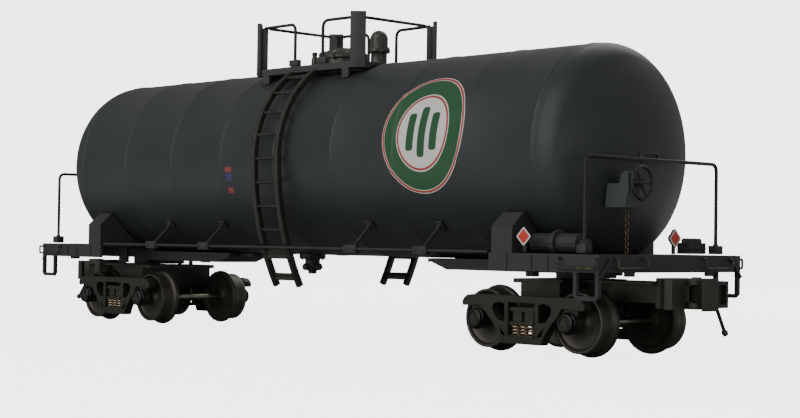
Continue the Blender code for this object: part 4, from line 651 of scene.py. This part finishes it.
# %% Stripe label
label_x, stripe_width, stripe_pitch, stripe_thick = -25.3 * mm, 0.62 * mm, 0.95 * mm, 0.04 * mm
label_rows = (("upper", film_red, 59.2, 2.0, 4), ("middle", film_blue, 56.4, 2.8, 4),
              ("lower", film_red, 51.7, 2.2, 3))  # row, film, height, length of the stripes, their number
for word, turn in both_sides:
    for row, finish, height, tall, count in label_rows:
        stripe = pad(rounded_rectangle(stripe_width, tall * mm, 0.1 * mm, 3), -stripe_thick, stripe_thick, 4)
        steps = (np.arange(count) - (count - 1) / 2) * stripe_pitch
        laid = [on_barrel(stripe, label_x + step, height * mm) for step in steps]
        add_piece(f"label_{row}_{word}", turned(laid, turn), finish, "car")
print("label:", len(label_rows), "rows of stripes")

# %% [markdown]
# A rail wheel is turned: a flange, a slightly coned tread, a dished web and a hub. The CAD wheel has the
# same main sizes with square corners. One profile with small fillets, turned about the axle, gives the
# lit edge of the rim and the shaded dish that the photograph shows behind the sideframes.

# %% Wheels and axles
axle_height = 10.5 * mm
wheel_profile = mm * np.array([
    (0, 23.8), (0.8, 23.8), (1.0, 23.6), (1.0, 21.1), (2.25, 21.1), (2.5, 21.0), (2.6, 20.75), (2.68, 20.2),
    (3.0, 19.75), (3.6, 19.5), (4.6, 19.35), (5.8, 19.3), (7.0, 19.35), (7.7, 19.5), (8.1, 19.8), (8.25, 20.2),
    (8.32, 20.6), (8.45, 20.76), (8.65, 20.8), (9.0, 20.8), (9.17, 20.74), (9.24, 20.6), (9.27, 18.5),
    (9.3, 16.6), (9.38, 16.2), (9.6, 15.85), (9.95, 15.6), (10.25, 15.35), (10.44, 15.0), (10.5, 14.6),
    (10.46, 14.1), (10.32, 13.75), (10.1, 13.6), (8.7, 13.6), (8.4, 13.75), (8.1, 14.0), (7.2, 14.1),
    (4.2, 14.1), (3.2, 13.95), (2.6, 13.6), (0, 13.6)])
half_axle = [(1.4, 13.7), (1.4, 12.2), (1.36, 11.6), (1.2, 9.0), (1.14, 4.0)]
axle_profile = mm * np.array([(0, -13.7)] + [(r, -y) for r, y in half_axle] + half_axle[::-1] + [(0, 13.7)])


def axle_x(end, word):
    """Where an axle stands along the car, from its CAD box."""
    low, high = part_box(f"axle_{end}_{word}")
    return (low.x + high.x) / 2


def mark_rings(piece, x):
    """Stores each point's distance from an axle at x, for the lathe marks."""
    points = np.empty(3 * len(piece.data.vertices))
    piece.data.vertices.foreach_get("co", points)
    points = points.reshape(-1, 3)
    store = piece.data.attributes.new("ring_radius", "FLOAT", "POINT")
    store.data.foreach_set("value", np.hypot(points[:, 0] - x, points[:, 2] - axle_height))


for end in "ab":
    for word in ("outer", "inner"):
        body, x = f"wheelset_{end}_{word}", axle_x(end, word)
        for side, hand in hands:
            part = lathe(wheel_profile * [1, side], "y", (x, 0, axle_height), 72)
            node = f"wheel_{end}_{word}_{hand}"
            mark_rings(add_piece(f"fine_{node}", [part], wheel_metal, body, [node], 40), x)
        axle = lathe(axle_profile, "y", (x, 0, axle_height), 40)
        mark_rings(add_piece(f"fine_axle_{end}_{word}", [axle], axle_steel, body,
                             [f"axle_{end}_{word}"], 40), x)
print("wheels:", len(wheel_profile), "rings each")

# %% [markdown]
# The springs catch the light more than anything else on the trucks. A coil spring is a round wire on a
# helix. The angle runs with the height, and the first and last half turns lie flatter, as ground ends do.

# %% Springs
def helix(centre, radius, low, high, turns, steps=26, flatter=0.12):
    """Points (r cos t, r sin t, z) where z rises with t, slower in the first and the last half turn."""
    turn = np.linspace(0, turns, int(turns * steps) + 1)
    eased = [0.5 * (1 - np.cos(np.clip(part, 0, 0.5) * 2 * np.pi)) for part in (turn, turns - turn)]
    rise = turn + flatter * (eased[1] - eased[0])
    rise = (rise - rise[0]) / (rise[-1] - rise[0])
    return np.stack([centre[0] + radius * np.cos(2 * np.pi * turn), centre[1] + radius * np.sin(2 * np.pi * turn),
                     low + (high - low) * rise], 1)


spring_wire, spring_pitch, spring_turns, spring_inset = 0.30 * mm, 3.15 * mm, 3.6, 0.35 * mm
seat_half, seat_sink = 0.5 * mm, 0.05 * mm
for end in "ab":
    for _, hand in hands:
        node, body = f"springs_{end}_{hand}", f"truck_{end}"
        low, high = [np.array(corner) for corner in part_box(node)]
        middle, winding = (low + high) / 2, (high - low)[1] / 2 - spring_wire
        coils = [sweep(helix(middle + [step * spring_pitch, 0, 0], winding, low[2] + spring_inset,
                             high[2] - spring_inset, spring_turns), circle(spring_wire, 10))
                 for step in (-1, 0, 1)]
        add_piece(f"coils_{end}_{hand}", coils, spring_bronze, body, [node], 80)
        seats = [block((low[0], low[1], z - seat_half), (high[0], high[1], z + seat_half), 0.12 * mm)
                 for z in (low[2] - seat_sink, high[2] + seat_sink)]
        add_piece(f"spring_seats_{end}_{hand}", seats, truck_casting, body)
print("springs: 12 coils of", spring_turns, "turns, wound", round(winding / mm, 2), "mm from their middle")

# %% [markdown]
# Each axle ends in a bearing with a round cap. Two raised rings turn the flat CAD end into a cap with a lip.
# They are rings and not discs, so that the middle of the cap keeps its own depth.

# %% Bearing caps
cap_rings = [mm * np.array([(1.95, 26.9), (2.1, 27.14), (2.45, 27.22), (2.8, 27.12), (2.98, 26.9), (2.98, 26.5),
                            (1.95, 26.5)]),
             mm * np.array([(2.7, 25.9), (2.85, 26.12), (3.1, 26.18), (3.32, 26.0), (3.4, 25.7), (3.4, 25.2),
                            (2.7, 25.2)])]
for end in "ab":
    for side, hand in hands:
        parts = [lathe(profile * [1, side], "y", (axle_x(end, word), 0, axle_height), 48, ring=True)
                 for word in ("outer", "inner") for profile in cap_rings]
        add_piece(f"bearing_rings_{end}_{hand}", parts, bearing_black, f"truck_{end}")
print("bearings:", len(cap_rings), "rings each")

# %% [markdown]
# Everything made of wire on this model is one bent rod: end handrails, platform rails, grab irons. A line of
# straight legs with rounded corners, carried by a circle, is all of them. The corners matter: a sharp one
# would tell the eye at once that it is not wire.

# %% End handrails
rail_wire, rail_x, rail_y, rail_top, deck_top = 0.58 * mm, 139.65 * mm, 32.3 * mm, 59.8 * mm, 31.2 * mm
clear = 0.3 * mm
foot_low, foot_high, foot_half = deck_top + clear, deck_top + 3.0 * mm, 1.7 * mm
handrail_line = bend([(rail_x, side * rail_y, z) for side, z in (
    (-1, foot_high - 0.5 * mm), (-1, rail_top), (1, rail_top), (1, foot_high - 0.5 * mm))], 2.6 * mm, 10)
collar_profile = np.array([(0, 0.5), (0.7, 0.5), (0.85, 0.3), (0.85, -0.3), (0, -0.3)]) * mm + [0, foot_high]
handrail = [sweep(handrail_line, circle(rail_wire, 16), (1, 0, 0))]
feet = [block((rail_x - foot_half, side * rail_y - foot_half, foot_low),
              (rail_x + foot_half, side * rail_y + foot_half, foot_high), 0.3 * mm) for side in (-1, 1)]
feet += [lathe(collar_profile, "z", (rail_x, side * rail_y, 0), 20) for side in (-1, 1)]
for end, turn in both_ends:
    add_piece(f"handrail_{end}", turned(handrail, turn), rail_paint, "car",
              [f"end_handrail_{end}"], 40)
    add_piece(f"handrail_feet_{end}", turned(feet, turn), deck_paint, "car")
print("handrails:", len(handrail_line), "points each")

# %% [markdown]
# Grab irons are what a shunter holds while riding on the end. On the model they are thin wires with golden
# patches, partly wear and partly painted glints. They stand off the face, so they need real geometry, not a bump.

# %% Grab irons
deck_end, deck_side, grab_top = 147.15 * mm, 35.0 * mm, 30.0 * mm
grab_half, grab_drop, grab_stand, grab_root = 6.8 * mm, 2.8 * mm, 1.6 * mm, 0.3 * mm


def grab_iron(centre, along, outward):
    """A wire that leaves the face, turns down, runs along, and comes back: five legs with small bends."""
    centre, along, outward = [np.asarray(part, float) for part in (centre, along, outward)]
    legs = [(-1, -grab_root, 0), (-1, grab_stand, 0), (-1, grab_stand, 1), (1, grab_stand, 1),
            (1, grab_stand, 0), (1, -grab_root, 0)]
    line = [centre + hand * grab_half * along + out * outward - [0, 0, fall * grab_drop]
            for hand, out, fall in legs]
    return sweep(bend(line, 0.7 * mm, 5), circle(0.38 * mm, 10), along + 0.02 * outward + [0, 0, 0.015])


grabs = [grab_iron((deck_end - 7.2 * mm, side * deck_side, grab_top), (1, 0, 0), (0, side, 0)) for side in (-1, 1)]
grabs += [grab_iron((deck_end, y * mm, grab_top), (0, 1, 0), (1, 0, 0)) for y in (-21.0, 21.8)]
for end, turn in both_ends:
    add_piece(f"grab_irons_{end}", turned(grabs, turn), grab_wear_and_glint_paint, "car", smooth_angle=50)
print("grab irons:", len(grabs), "an end")

# %% [markdown]
# Each ladder hugs the tank and then curves in under it. Its two stiles are flat bars that keep one line:
# an arc about the tank's axis down to its middle height, and then a much wider arc. The rungs sit at an
# even pitch measured along that line, so the line's length is worked out first and then divided.

# %% Ladders
ladder_stand, ladder_wide, ladder_foot = 3.0 * mm, 95.0 * mm, deck_top - 13.2 * mm
stile_half_gap, stile_width, stile_depth, rung_pitch = 6.3 * mm, 2.0 * mm, 2.2 * mm, 8.4 * mm
ladder_top = math.radians(56)
ladder_plates = ((ladder_foot + 1.8 * mm, 1.6 * mm, 1.4 * mm),  # height, how tall, how thick
                 (deck_top - 3.8 * mm, 4.1 * mm, 0.7 * mm))


def ladder_line(steps=60):
    """(y, z) on the far side: radius r about the tank's axis from the top angle to 0, then radius w below."""
    radius = tank_radius + ladder_stand
    upper = np.linspace(ladder_top, 0, steps)
    lower = np.linspace(0, -math.asin((axis_height - ladder_foot) / ladder_wide), steps)[1:]
    y = np.concatenate([radius * np.cos(upper), radius - ladder_wide + ladder_wide * np.cos(lower)])
    z = axis_height + np.concatenate([radius * np.sin(upper), ladder_wide * np.sin(lower)])
    return np.stack([y, z], 1)


line = ladder_line()
ladder_length = np.hypot(*np.diff(line, axis=0).T).sum()
rungs_at = np.arange(rung_pitch / 3, ladder_length - rung_pitch / 2, rung_pitch)
stile_section = rounded_rectangle(stile_width, stile_depth, 0.35 * mm, 4)[:, ::-1]
rung_profile = [(0, -stile_half_gap), (0.6 * mm, -stile_half_gap), (0.6 * mm, stile_half_gap), (0, stile_half_gap)]
for side, hand in hands:
    parts = [sweep(np.stack([0 * line[:, 0] + x, side * line[:, 0], line[:, 1]], 1), stile_section, (1, 0, 0))
             for x in (-stile_half_gap, stile_half_gap)]
    parts += [lathe(rung_profile, "x", (0, side * y, z), 12) for y, z in even_line(line, rungs_at)]
    for height, tall, thick in ladder_plates:
        y = side * np.interp(height + tall / 2, line[::-1, 1], line[::-1, 0])
        parts.append(block((-stile_half_gap, y - thick / 2, height),
                           (stile_half_gap, y + thick / 2, height + tall), 0.15 * mm))
    add_piece(f"fine_ladder_{hand}", parts, ladder_paint, "car", [f"ladder_{hand}"], 50)
print("ladders:", len(rungs_at), "rungs each")

# %% [markdown]
# A thin pipe runs along each side under the tank, held by four clamps. From each clamp a rod slants up to a
# small bracket on the tank. The bracket lies on the barrel, so its blocks are turned until their own
# upright is the tank's outward direction there.

# %% Side pipes
pipe_y, pipe_z, pipe_reach, pipe_radius = 34.1 * mm, 31.4 * mm, 103.35 * mm, 0.5 * mm
clamps = np.array([-70.9, -38.2, 41.7, 74.6]) * mm
clamp_half = np.array([3.0, 1.1, 1.4]) * mm
clamp_bolt_x, clamp_bolt_reach = 1.9 * mm, 1.35 * mm


def rod(start, end, radius, columns=12):
    """A round rod with a small chamfer at both ends, from one point to another."""
    start, end = np.asarray(start, float), np.asarray(end, float)
    along = (end - start) / np.linalg.norm(end - start)
    across = np.cross(along, [0.3, 0.2, 0.93])
    across /= np.linalg.norm(across)
    over = np.cross(along, across)
    chamfer = min(0.25 * radius, 0.15 * np.linalg.norm(end - start))
    rows = np.array([(0, 0), (radius - chamfer, 0), (radius, chamfer), (radius, -chamfer), (radius - chamfer, 0),
                     (0, 0)])
    base = np.where(np.arange(6)[:, None] < 3, start, end)
    angles = np.linspace(0, 2 * np.pi, columns, endpoint=False)
    spokes = np.cos(angles)[:, None] * across + np.sin(angles)[:, None] * over
    return base[:, None] + rows[:, :1, None] * spokes + rows[:, 1:, None] * along, grid_faces(6, columns)


for side, hand in hands:
    parts = [rod((-pipe_reach, side * pipe_y, pipe_z), (pipe_reach, side * pipe_y, pipe_z), pipe_radius, 16)]
    away = np.array([0, side * pipe_y, pipe_z - axis_height])
    away /= np.linalg.norm(away)
    on_tank = np.array([[1, 0, 0], [0, away[2], away[1]], [0, -away[1], away[2]]])
    bracket = [block((-1.5 * mm, -1.8 * mm, -0.3 * mm), (1.5 * mm, 1.8 * mm, 0.5 * mm), 0.15 * mm),
               block((-0.7 * mm, -0.9 * mm, 0), (0.7 * mm, 0.9 * mm, 1.6 * mm), 0.2 * mm)]
    for x in clamps:
        middle = np.array([x, side * pipe_y, pipe_z])
        seat = np.array([x, 0, axis_height]) + away * (tank_radius + 0.5 * mm)
        parts += [block_at(middle, clamp_half, 0.3 * mm), rod(middle, seat + away * 0.8 * mm, pipe_radius)]
        parts += [moved(part, seat, on_tank) for part in bracket]
        parts += [rod(middle + [step, 0, 0], middle + [step, side * clamp_bolt_reach, 0], 0.55 * mm, 6)
                  for step in (-clamp_bolt_x, clamp_bolt_x)]
    add_piece(f"fine_side_pipe_{hand}", parts, deck_paint, "car", [f"side_pipe_{hand}"], 40)
print("side pipes with", len(clamps), "clamps each")

# %% [markdown]
# The platform's four corner posts are folded sheet: a plate set across the corner and a narrow web behind
# it. Each also carries the end of a wire rail. The posts are made once, for the corner at +X and +Y, and
# mirrored to the other three, where the helper that cleans a mesh also turns its faces outwards again.

# %% Platform posts and rails
platform_low, platform_top, post_top, rail_height = 93.9 * mm, 96.3 * mm, 113.4 * mm, 111.8 * mm
slant = math.sqrt(0.5)
diagonal = np.array([[slant, -slant, 0], [slant, slant, 0], [0, 0, 1]])
corner = np.array([26.0, 18.0, 0]) * mm


def from_corner(out, z):
    """A place a distance out from the platform's corner, along the diagonal, at a height."""
    return corner + [out * slant, out * slant, z]


web_x, web_y, _ = from_corner(-0.8 * mm, 0)
plate = block((0.3 * mm, -2.75 * mm, platform_low), (1.9 * mm, 2.75 * mm, post_top), 0.3 * mm)
web = block((-1.9 * mm, -0.8 * mm, platform_top + clear), (0.7 * mm, 0.8 * mm, post_top - 1.6 * mm), 0.25 * mm)
rail_foot_x, rail_side, rail_bend, bolt_height = 7.5 * mm, 18.0 * mm, 2.8 * mm, 95.1 * mm
rail_line = bend([(web_x, web_y, rail_height), (rail_foot_x, rail_side, rail_height),
                  (rail_foot_x, rail_side, platform_top + 1.5 * mm)], rail_bend, 10)
post_parts = [moved(plate, corner, diagonal), moved(web, corner, diagonal),
              block((rail_foot_x - 2.4 * mm, rail_side - 1.0 * mm, platform_top + clear),
                    (rail_foot_x + 2.4 * mm, rail_side + 1.0 * mm, platform_top + 2.6 * mm), 0.3 * mm),
              rod(from_corner(1.8 * mm, bolt_height), from_corner(2.2 * mm, bolt_height), 0.5 * mm, 6)]
rail_part = sweep(rail_line, circle(rail_wire, 14), (0, 1, 0))
for end, along in (("a", -1), ("b", 1)):
    for across, hand in hands:
        place = np.diag([along, across, 1.0])
        add_piece(f"post_{end}_{hand}", turned(post_parts, place), platform_paint, "car",
                  [f"platform_post_{end}_{hand}"], 40)
        add_piece(f"rail_{end}_{hand}", turned([rail_part], place), rail_paint, "car",
                  smooth_angle=50)
    low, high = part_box(f"platform_end_rail_{end}")
    end_rail = rod((along * web_x, low.y, rail_height), (along * web_x, high.y, rail_height), 0.56 * mm, 14)
    add_piece(f"end_rail_{end}", [end_rail], rail_paint, "car", [f"platform_end_rail_{end}"], 50)
print("platform: 4 posts, 4 side rails, 2 end rails")

# %% [markdown]
# The fittings inside the platform are castings on the real car: a bolted manway cover, a domed safety
# valve and a small vent. On the model they are moulded in a paler, shinier plastic. Under the tank hangs the
# outlet, a flange with a four-armed handle. All are turned from profiles whose heights run from the tank's
# top or bottom, with eye bolts, lugs and arms set round them by an angle.

# %% Castings on the tank
def rods_round(x, base, count, inner, outer, radius, columns, start=0.5):
    """Rods round an upright line at x: angle k is 2 pi (k + start) / n, and each runs from (r, z) to (r, z)."""
    angles = 2 * np.pi * (np.arange(count) + start) / count
    return [rod(*[(x + r * mm * c, r * mm * s, base + z * mm) for r, z in (inner, outer)], radius * mm, columns)
            for c, s in zip(np.cos(angles), np.sin(angles))]


manway_x, valve_x, nozzle_x, outlet_x = -1.5 * mm, 17.4 * mm, -17.6 * mm, -17.0 * mm
manway_profile = [
    (0, 7.6), (1.0, 7.6), (1.3, 7.5), (3.2, 7.45), (3.45, 7.0), (3.7, 6.95), (5.9, 6.6), (6.2, 6.3), (6.4, 5.95),
    (7.7, 5.7), (8.2, 5.1), (8.6, 4.5), (8.75, 4.3), (8.8, 4.1), (8.8, 3.7), (8.7, 3.5), (7.7, 3.5), (7.5, 3.3),
    (7.5, 1.2), (7.7, 0.5), (8.2, 0.2), (8.2, -1.1), (0, -1.1)]
dome = [(3.2 * math.cos(angle), 9.4 + 3.2 * math.sin(angle)) for angle in np.linspace(np.pi / 2, 0, 14)[1:]]
valve_profile = [(0, 12.6)] + dome + [
    (3.2, 6.3), (3.35, 6.05), (3.9, 6.0), (4.0, 5.85), (4.0, 4.8), (3.9, 4.6), (3.1, 4.55), (2.9, 4.3), (2.9, 0.6),
    (3.2, 0.2), (3.2, -1.1), (0, -1.1)]
nozzle_profile = [(0, 7.3), (0.75, 7.3), (1.0, 7.1), (1.05, 6.2), (0.95, 6.0), (0.85, 5.7), (0.95, 5.5),
                  (1.15, 4.9), (1.25, 3.4), (1.25, 1.0), (1.5, 0.7), (1.5, -1.1), (0, -1.1)]
outlet_profile = [(0, -7.1), (1.3, -7.1), (1.6, -6.8), (1.6, -6.1), (1.8, -5.9), (2.6, -5.8), (2.8, -5.4),
                  (2.8, -1.9), (3.1, -1.6), (4.75, -1.5), (4.9, -1.3), (4.9, 0.2), (4.7, 0.4), (0, 0.4)]
eye_bolts = (rods_round(manway_x, tank_top, 8, (8.8, 2.9), (8.8, 5.1), 0.8, 8)
             + rods_round(manway_x, tank_top, 8, (6.6, 5.9), (9.2, 5.0), 0.45, 8))
lugs = rods_round(valve_x, tank_top, 6, (3.55, 4.2), (3.55, 6.5), 0.42, 6)
arms = (rods_round(outlet_x, tank_bottom, 4, (0, -4.5), (4.2, -4.5), 1.3, 14, 0)
        + rods_round(outlet_x, tank_bottom, 8, (4.1, -1.4), (4.1, -1.9), 0.45, 6))
castings = (  # piece, place along the car, base, profile, columns, other parts, finish, slot, CAD node
    ("manway_cover", manway_x, tank_top, manway_profile, 96, eye_bolts, pewter, "valve_pewter", "manway"),
    ("safety_valve_dome", valve_x, tank_top, valve_profile, 64, lugs, pewter, "valve_pewter", "safety_valve"),
    ("vent", nozzle_x, tank_top, nozzle_profile, 32, [], pewter, "valve_pewter", "vent_nozzle"),
    ("outlet", outlet_x, tank_bottom, outlet_profile, 48, arms, fitting_paint, "fitting_paint", "outlet_valve"))
for name, x, base, profile, columns, others, finish, slot, node in castings:
    core = lathe(mm * np.array(profile), "z", (x, 0, base), columns)
    add_piece(name, [core] + others, finish, "car", [node], 40)
print("castings:", len(castings))

# %% [markdown]
# The hand wheel of the brake has a thin round rim and a hub, and six spokes that bend forward from the hub to
# the rim. Rim and spokes are wires carried along a line, and the hub is turned.

# %% Brake wheel
brake_centre = np.array([145.35, -13.0, 52.4]) * mm
brake_reach, spoke_set = 4.8 * mm, np.array([0.5, 0, 0]) * mm
rim = circle(brake_reach, 72)
brake_parts = [sweep(brake_centre + np.column_stack([0 * rim[:, 0], rim]), circle(0.48 * mm, 12), (1, 0, 0), True)]
for angle in np.arange(6) * np.pi / 3:
    spoke = np.array([0, math.cos(angle), math.sin(angle)])
    line = bend([brake_centre + 0.5 * mm * spoke - spoke_set, brake_centre + 2.4 * mm * spoke - spoke_set,
                 brake_centre + brake_reach * spoke], 1.2 * mm, 6)
    brake_parts.append(sweep(line, circle(0.34 * mm, 8), np.cross(spoke, [1, 0, 0])))
hub_profile = mm * np.array([(0, -2.2), (1.1, -2.2), (1.1, -0.6), (1.05, 0.2), (0.75, 0.35), (0.7, 0.5), (0, 0.5)])
brake_parts.append(lathe(hub_profile, "x", brake_centre, 24))
add_piece("brake_handwheel", brake_parts, hand_wheel_paint, "car", ["brake_wheel"], 50)
print("brake wheel:", len(brake_parts), "parts")

# %% [markdown]
# Under the hand wheel hangs a real link chain. It is the smallest thing here that still reads in the
# photograph, as a row of bronze glints, so it isn't drawn as a rod. Each link is a stadium-shaped loop of
# wire, and every other one is turned a quarter.

# %% Chain
link_wire, link_half_width, link_half_straight = 0.17 * mm, 0.55 * mm, 0.12 * mm
chain_x, chain_low, chain_high = 139.85 * mm, deck_top + clear, 44.7 * mm
half_circle = link_half_width * np.stack([np.cos(np.linspace(0, np.pi, 7)), np.sin(np.linspace(0, np.pi, 7))], 1)
half_circle = half_circle + [0, link_half_straight]
stadium = np.concatenate([half_circle, -half_circle])
link_pitch = 2 * (link_half_straight + link_half_width - link_wire)
links = int((chain_high - chain_low) // link_pitch)
chain = []
for index in range(links):
    height = chain_high - (index + 0.55) * link_pitch
    turn = math.radians(5 + 90 * (index % 2))
    points = np.stack([stadium[:, 0] * math.cos(turn), stadium[:, 0] * math.sin(turn), stadium[:, 1]], 1)
    chain.append(sweep(points + [chain_x, brake_centre[1], height], circle(link_wire, 8),
                       (-math.sin(turn), math.cos(turn), 0), True))
add_piece("chain", chain, chain_metal, "car", ["brake_chain"], 60)
print("chain:", links, "links")

# %% [markdown]
# Four placards stand on the decks, squares on one corner: one on a side and one at the end of each. Each is a
# holder on a small post, a white border and a red face. The layers differ in depth by hundredths of a
# millimetre, so that each hides the one below it cleanly.

# %% Placards
placard_height, placard_half = 36.2 * mm, 3.1 * mm
eighth_turn = np.array([[slant, slant], [-slant, slant]])


def diamond(inset, corner, low, high):
    """A plate drawn as a rounded square turned by 45 degrees, a little smaller than the holder by an inset."""
    across = (placard_half - inset * mm) * math.sqrt(2)
    return pad(rounded_rectangle(across, across, corner * mm, 5) @ eighth_turn, low * mm, high * mm, 4)


layers = {"holder": (fitting_paint, diamond(0, 0.4, -0.8, -0.1)),
          "border": (enamel_white, diamond(0.16, 0.3, -0.2, -0.04)),
          "face": (enamel_red, diamond(0.86, 0.15, -0.15, 0))}
side_axes = np.array([[1, 0, 0], [0, 0, -1], [0, 1, 0]], float)
end_axes = np.array([[0, 0, 1], [1, 0, 0], [0, 1, 0]], float)
spots = {  # axes, place, half sizes of the post
    "side": (side_axes, np.array([118.0 * mm, -34.4 * mm, placard_height]), [0.6, 0.4]),
    "end": (end_axes, np.array([145.95 * mm, 2.7 * mm, placard_height]), [0.4, 0.6])}
for end, turn in both_ends:
    for word, (axes, spot, post_half) in spots.items():
        back, half = spot - axes[:, 2] * 0.8 * mm, np.array(post_half) * mm
        post = block((*(back[:2] - half), deck_top + clear), (*(back[:2] + half), placard_height), 0.15 * mm)
        for piece, (finish, part) in layers.items():
            holds = piece == "holder"
            parts = [moved(part, spot, axes)] + ([post] if holds else [])
            add_piece(f"placard_{word}_{piece}_{end}", turned(parts, turn), finish, "car",
                      [f"placard_{word}_{end}"] if holds else (), 40)
print("placards:", len(spots) * len(both_ends))

# %% [markdown]
# The deck's side sill is riveted to the bolster. The photograph shows a group of four low heads. Each is
# turned from a short profile, and only where it shows, because rivets all round would be invented.

# %% Rivets on the decks
rivet_profile = mm * np.array([(0, 0.32), (0.24, 0.28), (0.4, 0.15), (0.44, 0), (0.44, -0.2), (0, -0.2)])
deck_rivets = [lathe(rivet_profile, "y", (x * mm, deck_side, z * mm), 12)
               for x in (121.2, 123.8) for z in (27.3, 29.7)]
for end, turn in both_ends:
    add_piece(f"rivets_{end}", turned(deck_rivets, turn), deck_paint, "car", smooth_angle=60)
print("rivets:", len(deck_rivets), "an end")

# %% [markdown]
# The brake's control valve is a box with a row of caps on top, which breaks its outline against the light.
# The row is made from one small dome, set along the box at an even pitch, with bolts on the outer face.

# %% Control valve caps
valve_cap_profile = mm * np.array([(0, 1.5), (0.45, 1.42), (0.8, 1.15), (0.98, 0.75), (1.0, 0.2), (1.0, -0.3),
                                   (0, -0.3)])
valve_low, valve_high = [np.array(corner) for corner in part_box("control_valve")]
cap_rows = np.linspace(valve_low[1] + 0.95 * mm, valve_high[1] - 0.95 * mm, 5)
cap_x, cap_z = (valve_low + valve_high)[0] / 2, valve_high[2] - 1.0 * mm
face, bolt_z = valve_high[0], valve_low[2] + 1.7 * mm
valve_caps = [lathe(valve_cap_profile, "z", (cap_x, y, cap_z), 16) for y in cap_rows]
valve_caps += [rod((face - 0.3 * mm, y, bolt_z), (face + 0.5 * mm, y, bolt_z), 0.6 * mm, 6) for y in cap_rows[::2]]
add_piece("control_valve_caps", valve_caps, deck_paint, "car", smooth_angle=50)
print("control valve:", len(valve_caps), "caps and bolts")

# %% [markdown]
# The knuckle turns about its pin between two lugs. The real casting follows the lugs closely, with a
# shoulder behind its face. In plan that shoulder is an arc about the pin, a little larger than the lugs,
# closed by a straight line inside the face, so the knuckle can still swing all the way.

# %% Knuckle shoulders
pin_place, shoulder_radius, shoulder_front = np.array([152.6, 4.4]) * mm, 3.95 * mm, 5.15 * mm
coupler_height, shoulder_half = 19.8 * mm, 4.0 * mm
shoulder_arc = np.radians(np.linspace(-50, 35, 16))
shoulder_plan = np.concatenate([shoulder_radius * np.stack([np.cos(shoulder_arc), np.sin(shoulder_arc)], 1),
                                [(shoulder_front, 3.6 * mm), (shoulder_front, -3.8 * mm)]]) + pin_place


def prism(outline, low, high, chamfer):
    """A plan (x, y) raised from one height to another, with its end rows drawn in by a chamfer."""
    middle = outline.mean(0)
    drawn = middle + (outline - middle) * (1 - chamfer / np.abs(outline - middle).max())
    rows = [(drawn, low), (outline, low + chamfer), (outline, high - chamfer), (drawn, high)]
    points = np.stack([np.column_stack([plan, np.full(len(plan), height)]) for plan, height in rows])
    return points, grid_faces(4, len(outline)) + caps(4, len(outline))


shoulder = prism(shoulder_plan, coupler_height - shoulder_half, coupler_height + shoulder_half, 0.15 * mm)
for end, turn in both_ends:
    add_piece(f"knuckle_shoulder_{end}", turned([shoulder], turn), truck_casting, f"knuckle_{end}",
              smooth_angle=40)
print("knuckle shoulders: 2")

# %% [markdown]
# The decks, sills, trucks and couplers are castings and folded plates whose CAD shape is already right. What
# plain CAD lacks is the small radius on every edge, which is what draws a bright line under studio light. The
# CAD mesh comes as loose triangles, so a Weld modifier joins them before a Bevel rounds the edges.

# %% Dress the CAD pieces
dress = {  # start of the node's name: finish, width of the rounded edges in mm
    "deck": (deck_paint, 0.18), "stub_sill": (deck_paint, 0.18), "bolster": (truck_casting, 0.16),
    # The couplers take the lighter copy of the casting paint, which paints light on them.
    "coupler": (coupler_painted_light, 0.18), "sideframe": (truck_casting, 0.16), "knuckle": (truck_casting, 0.18),
    "platform": (platform_paint, 0.16), "brake_housing": (housing_paint, 0.35),
    "brake_cylinder": (deck_paint, 0.2), "control_valve": (deck_paint, 0.2),
}
shown = [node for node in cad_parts.values() if not node.hide_render]
for node in shown:
    kind = next((word for word in dress if node.name.startswith(word)), None)
    if kind is None:
        print("no finish for", node.name)
        continue
    finish, width = dress[kind]
    for holder in node.material_slots:
        holder.material = finish
    weld = node.modifiers.new("weld", "WELD")
    weld.merge_threshold = 0.000002
    edge = node.modifiers.new("edge", "BEVEL")
    edge.width = width * mm
    edge.segments = 2
    edge.limit_method = "ANGLE"
    edge.angle_limit = math.radians(35)
    edge.harden_normals = True
print("dressed", len(shown), "CAD pieces")
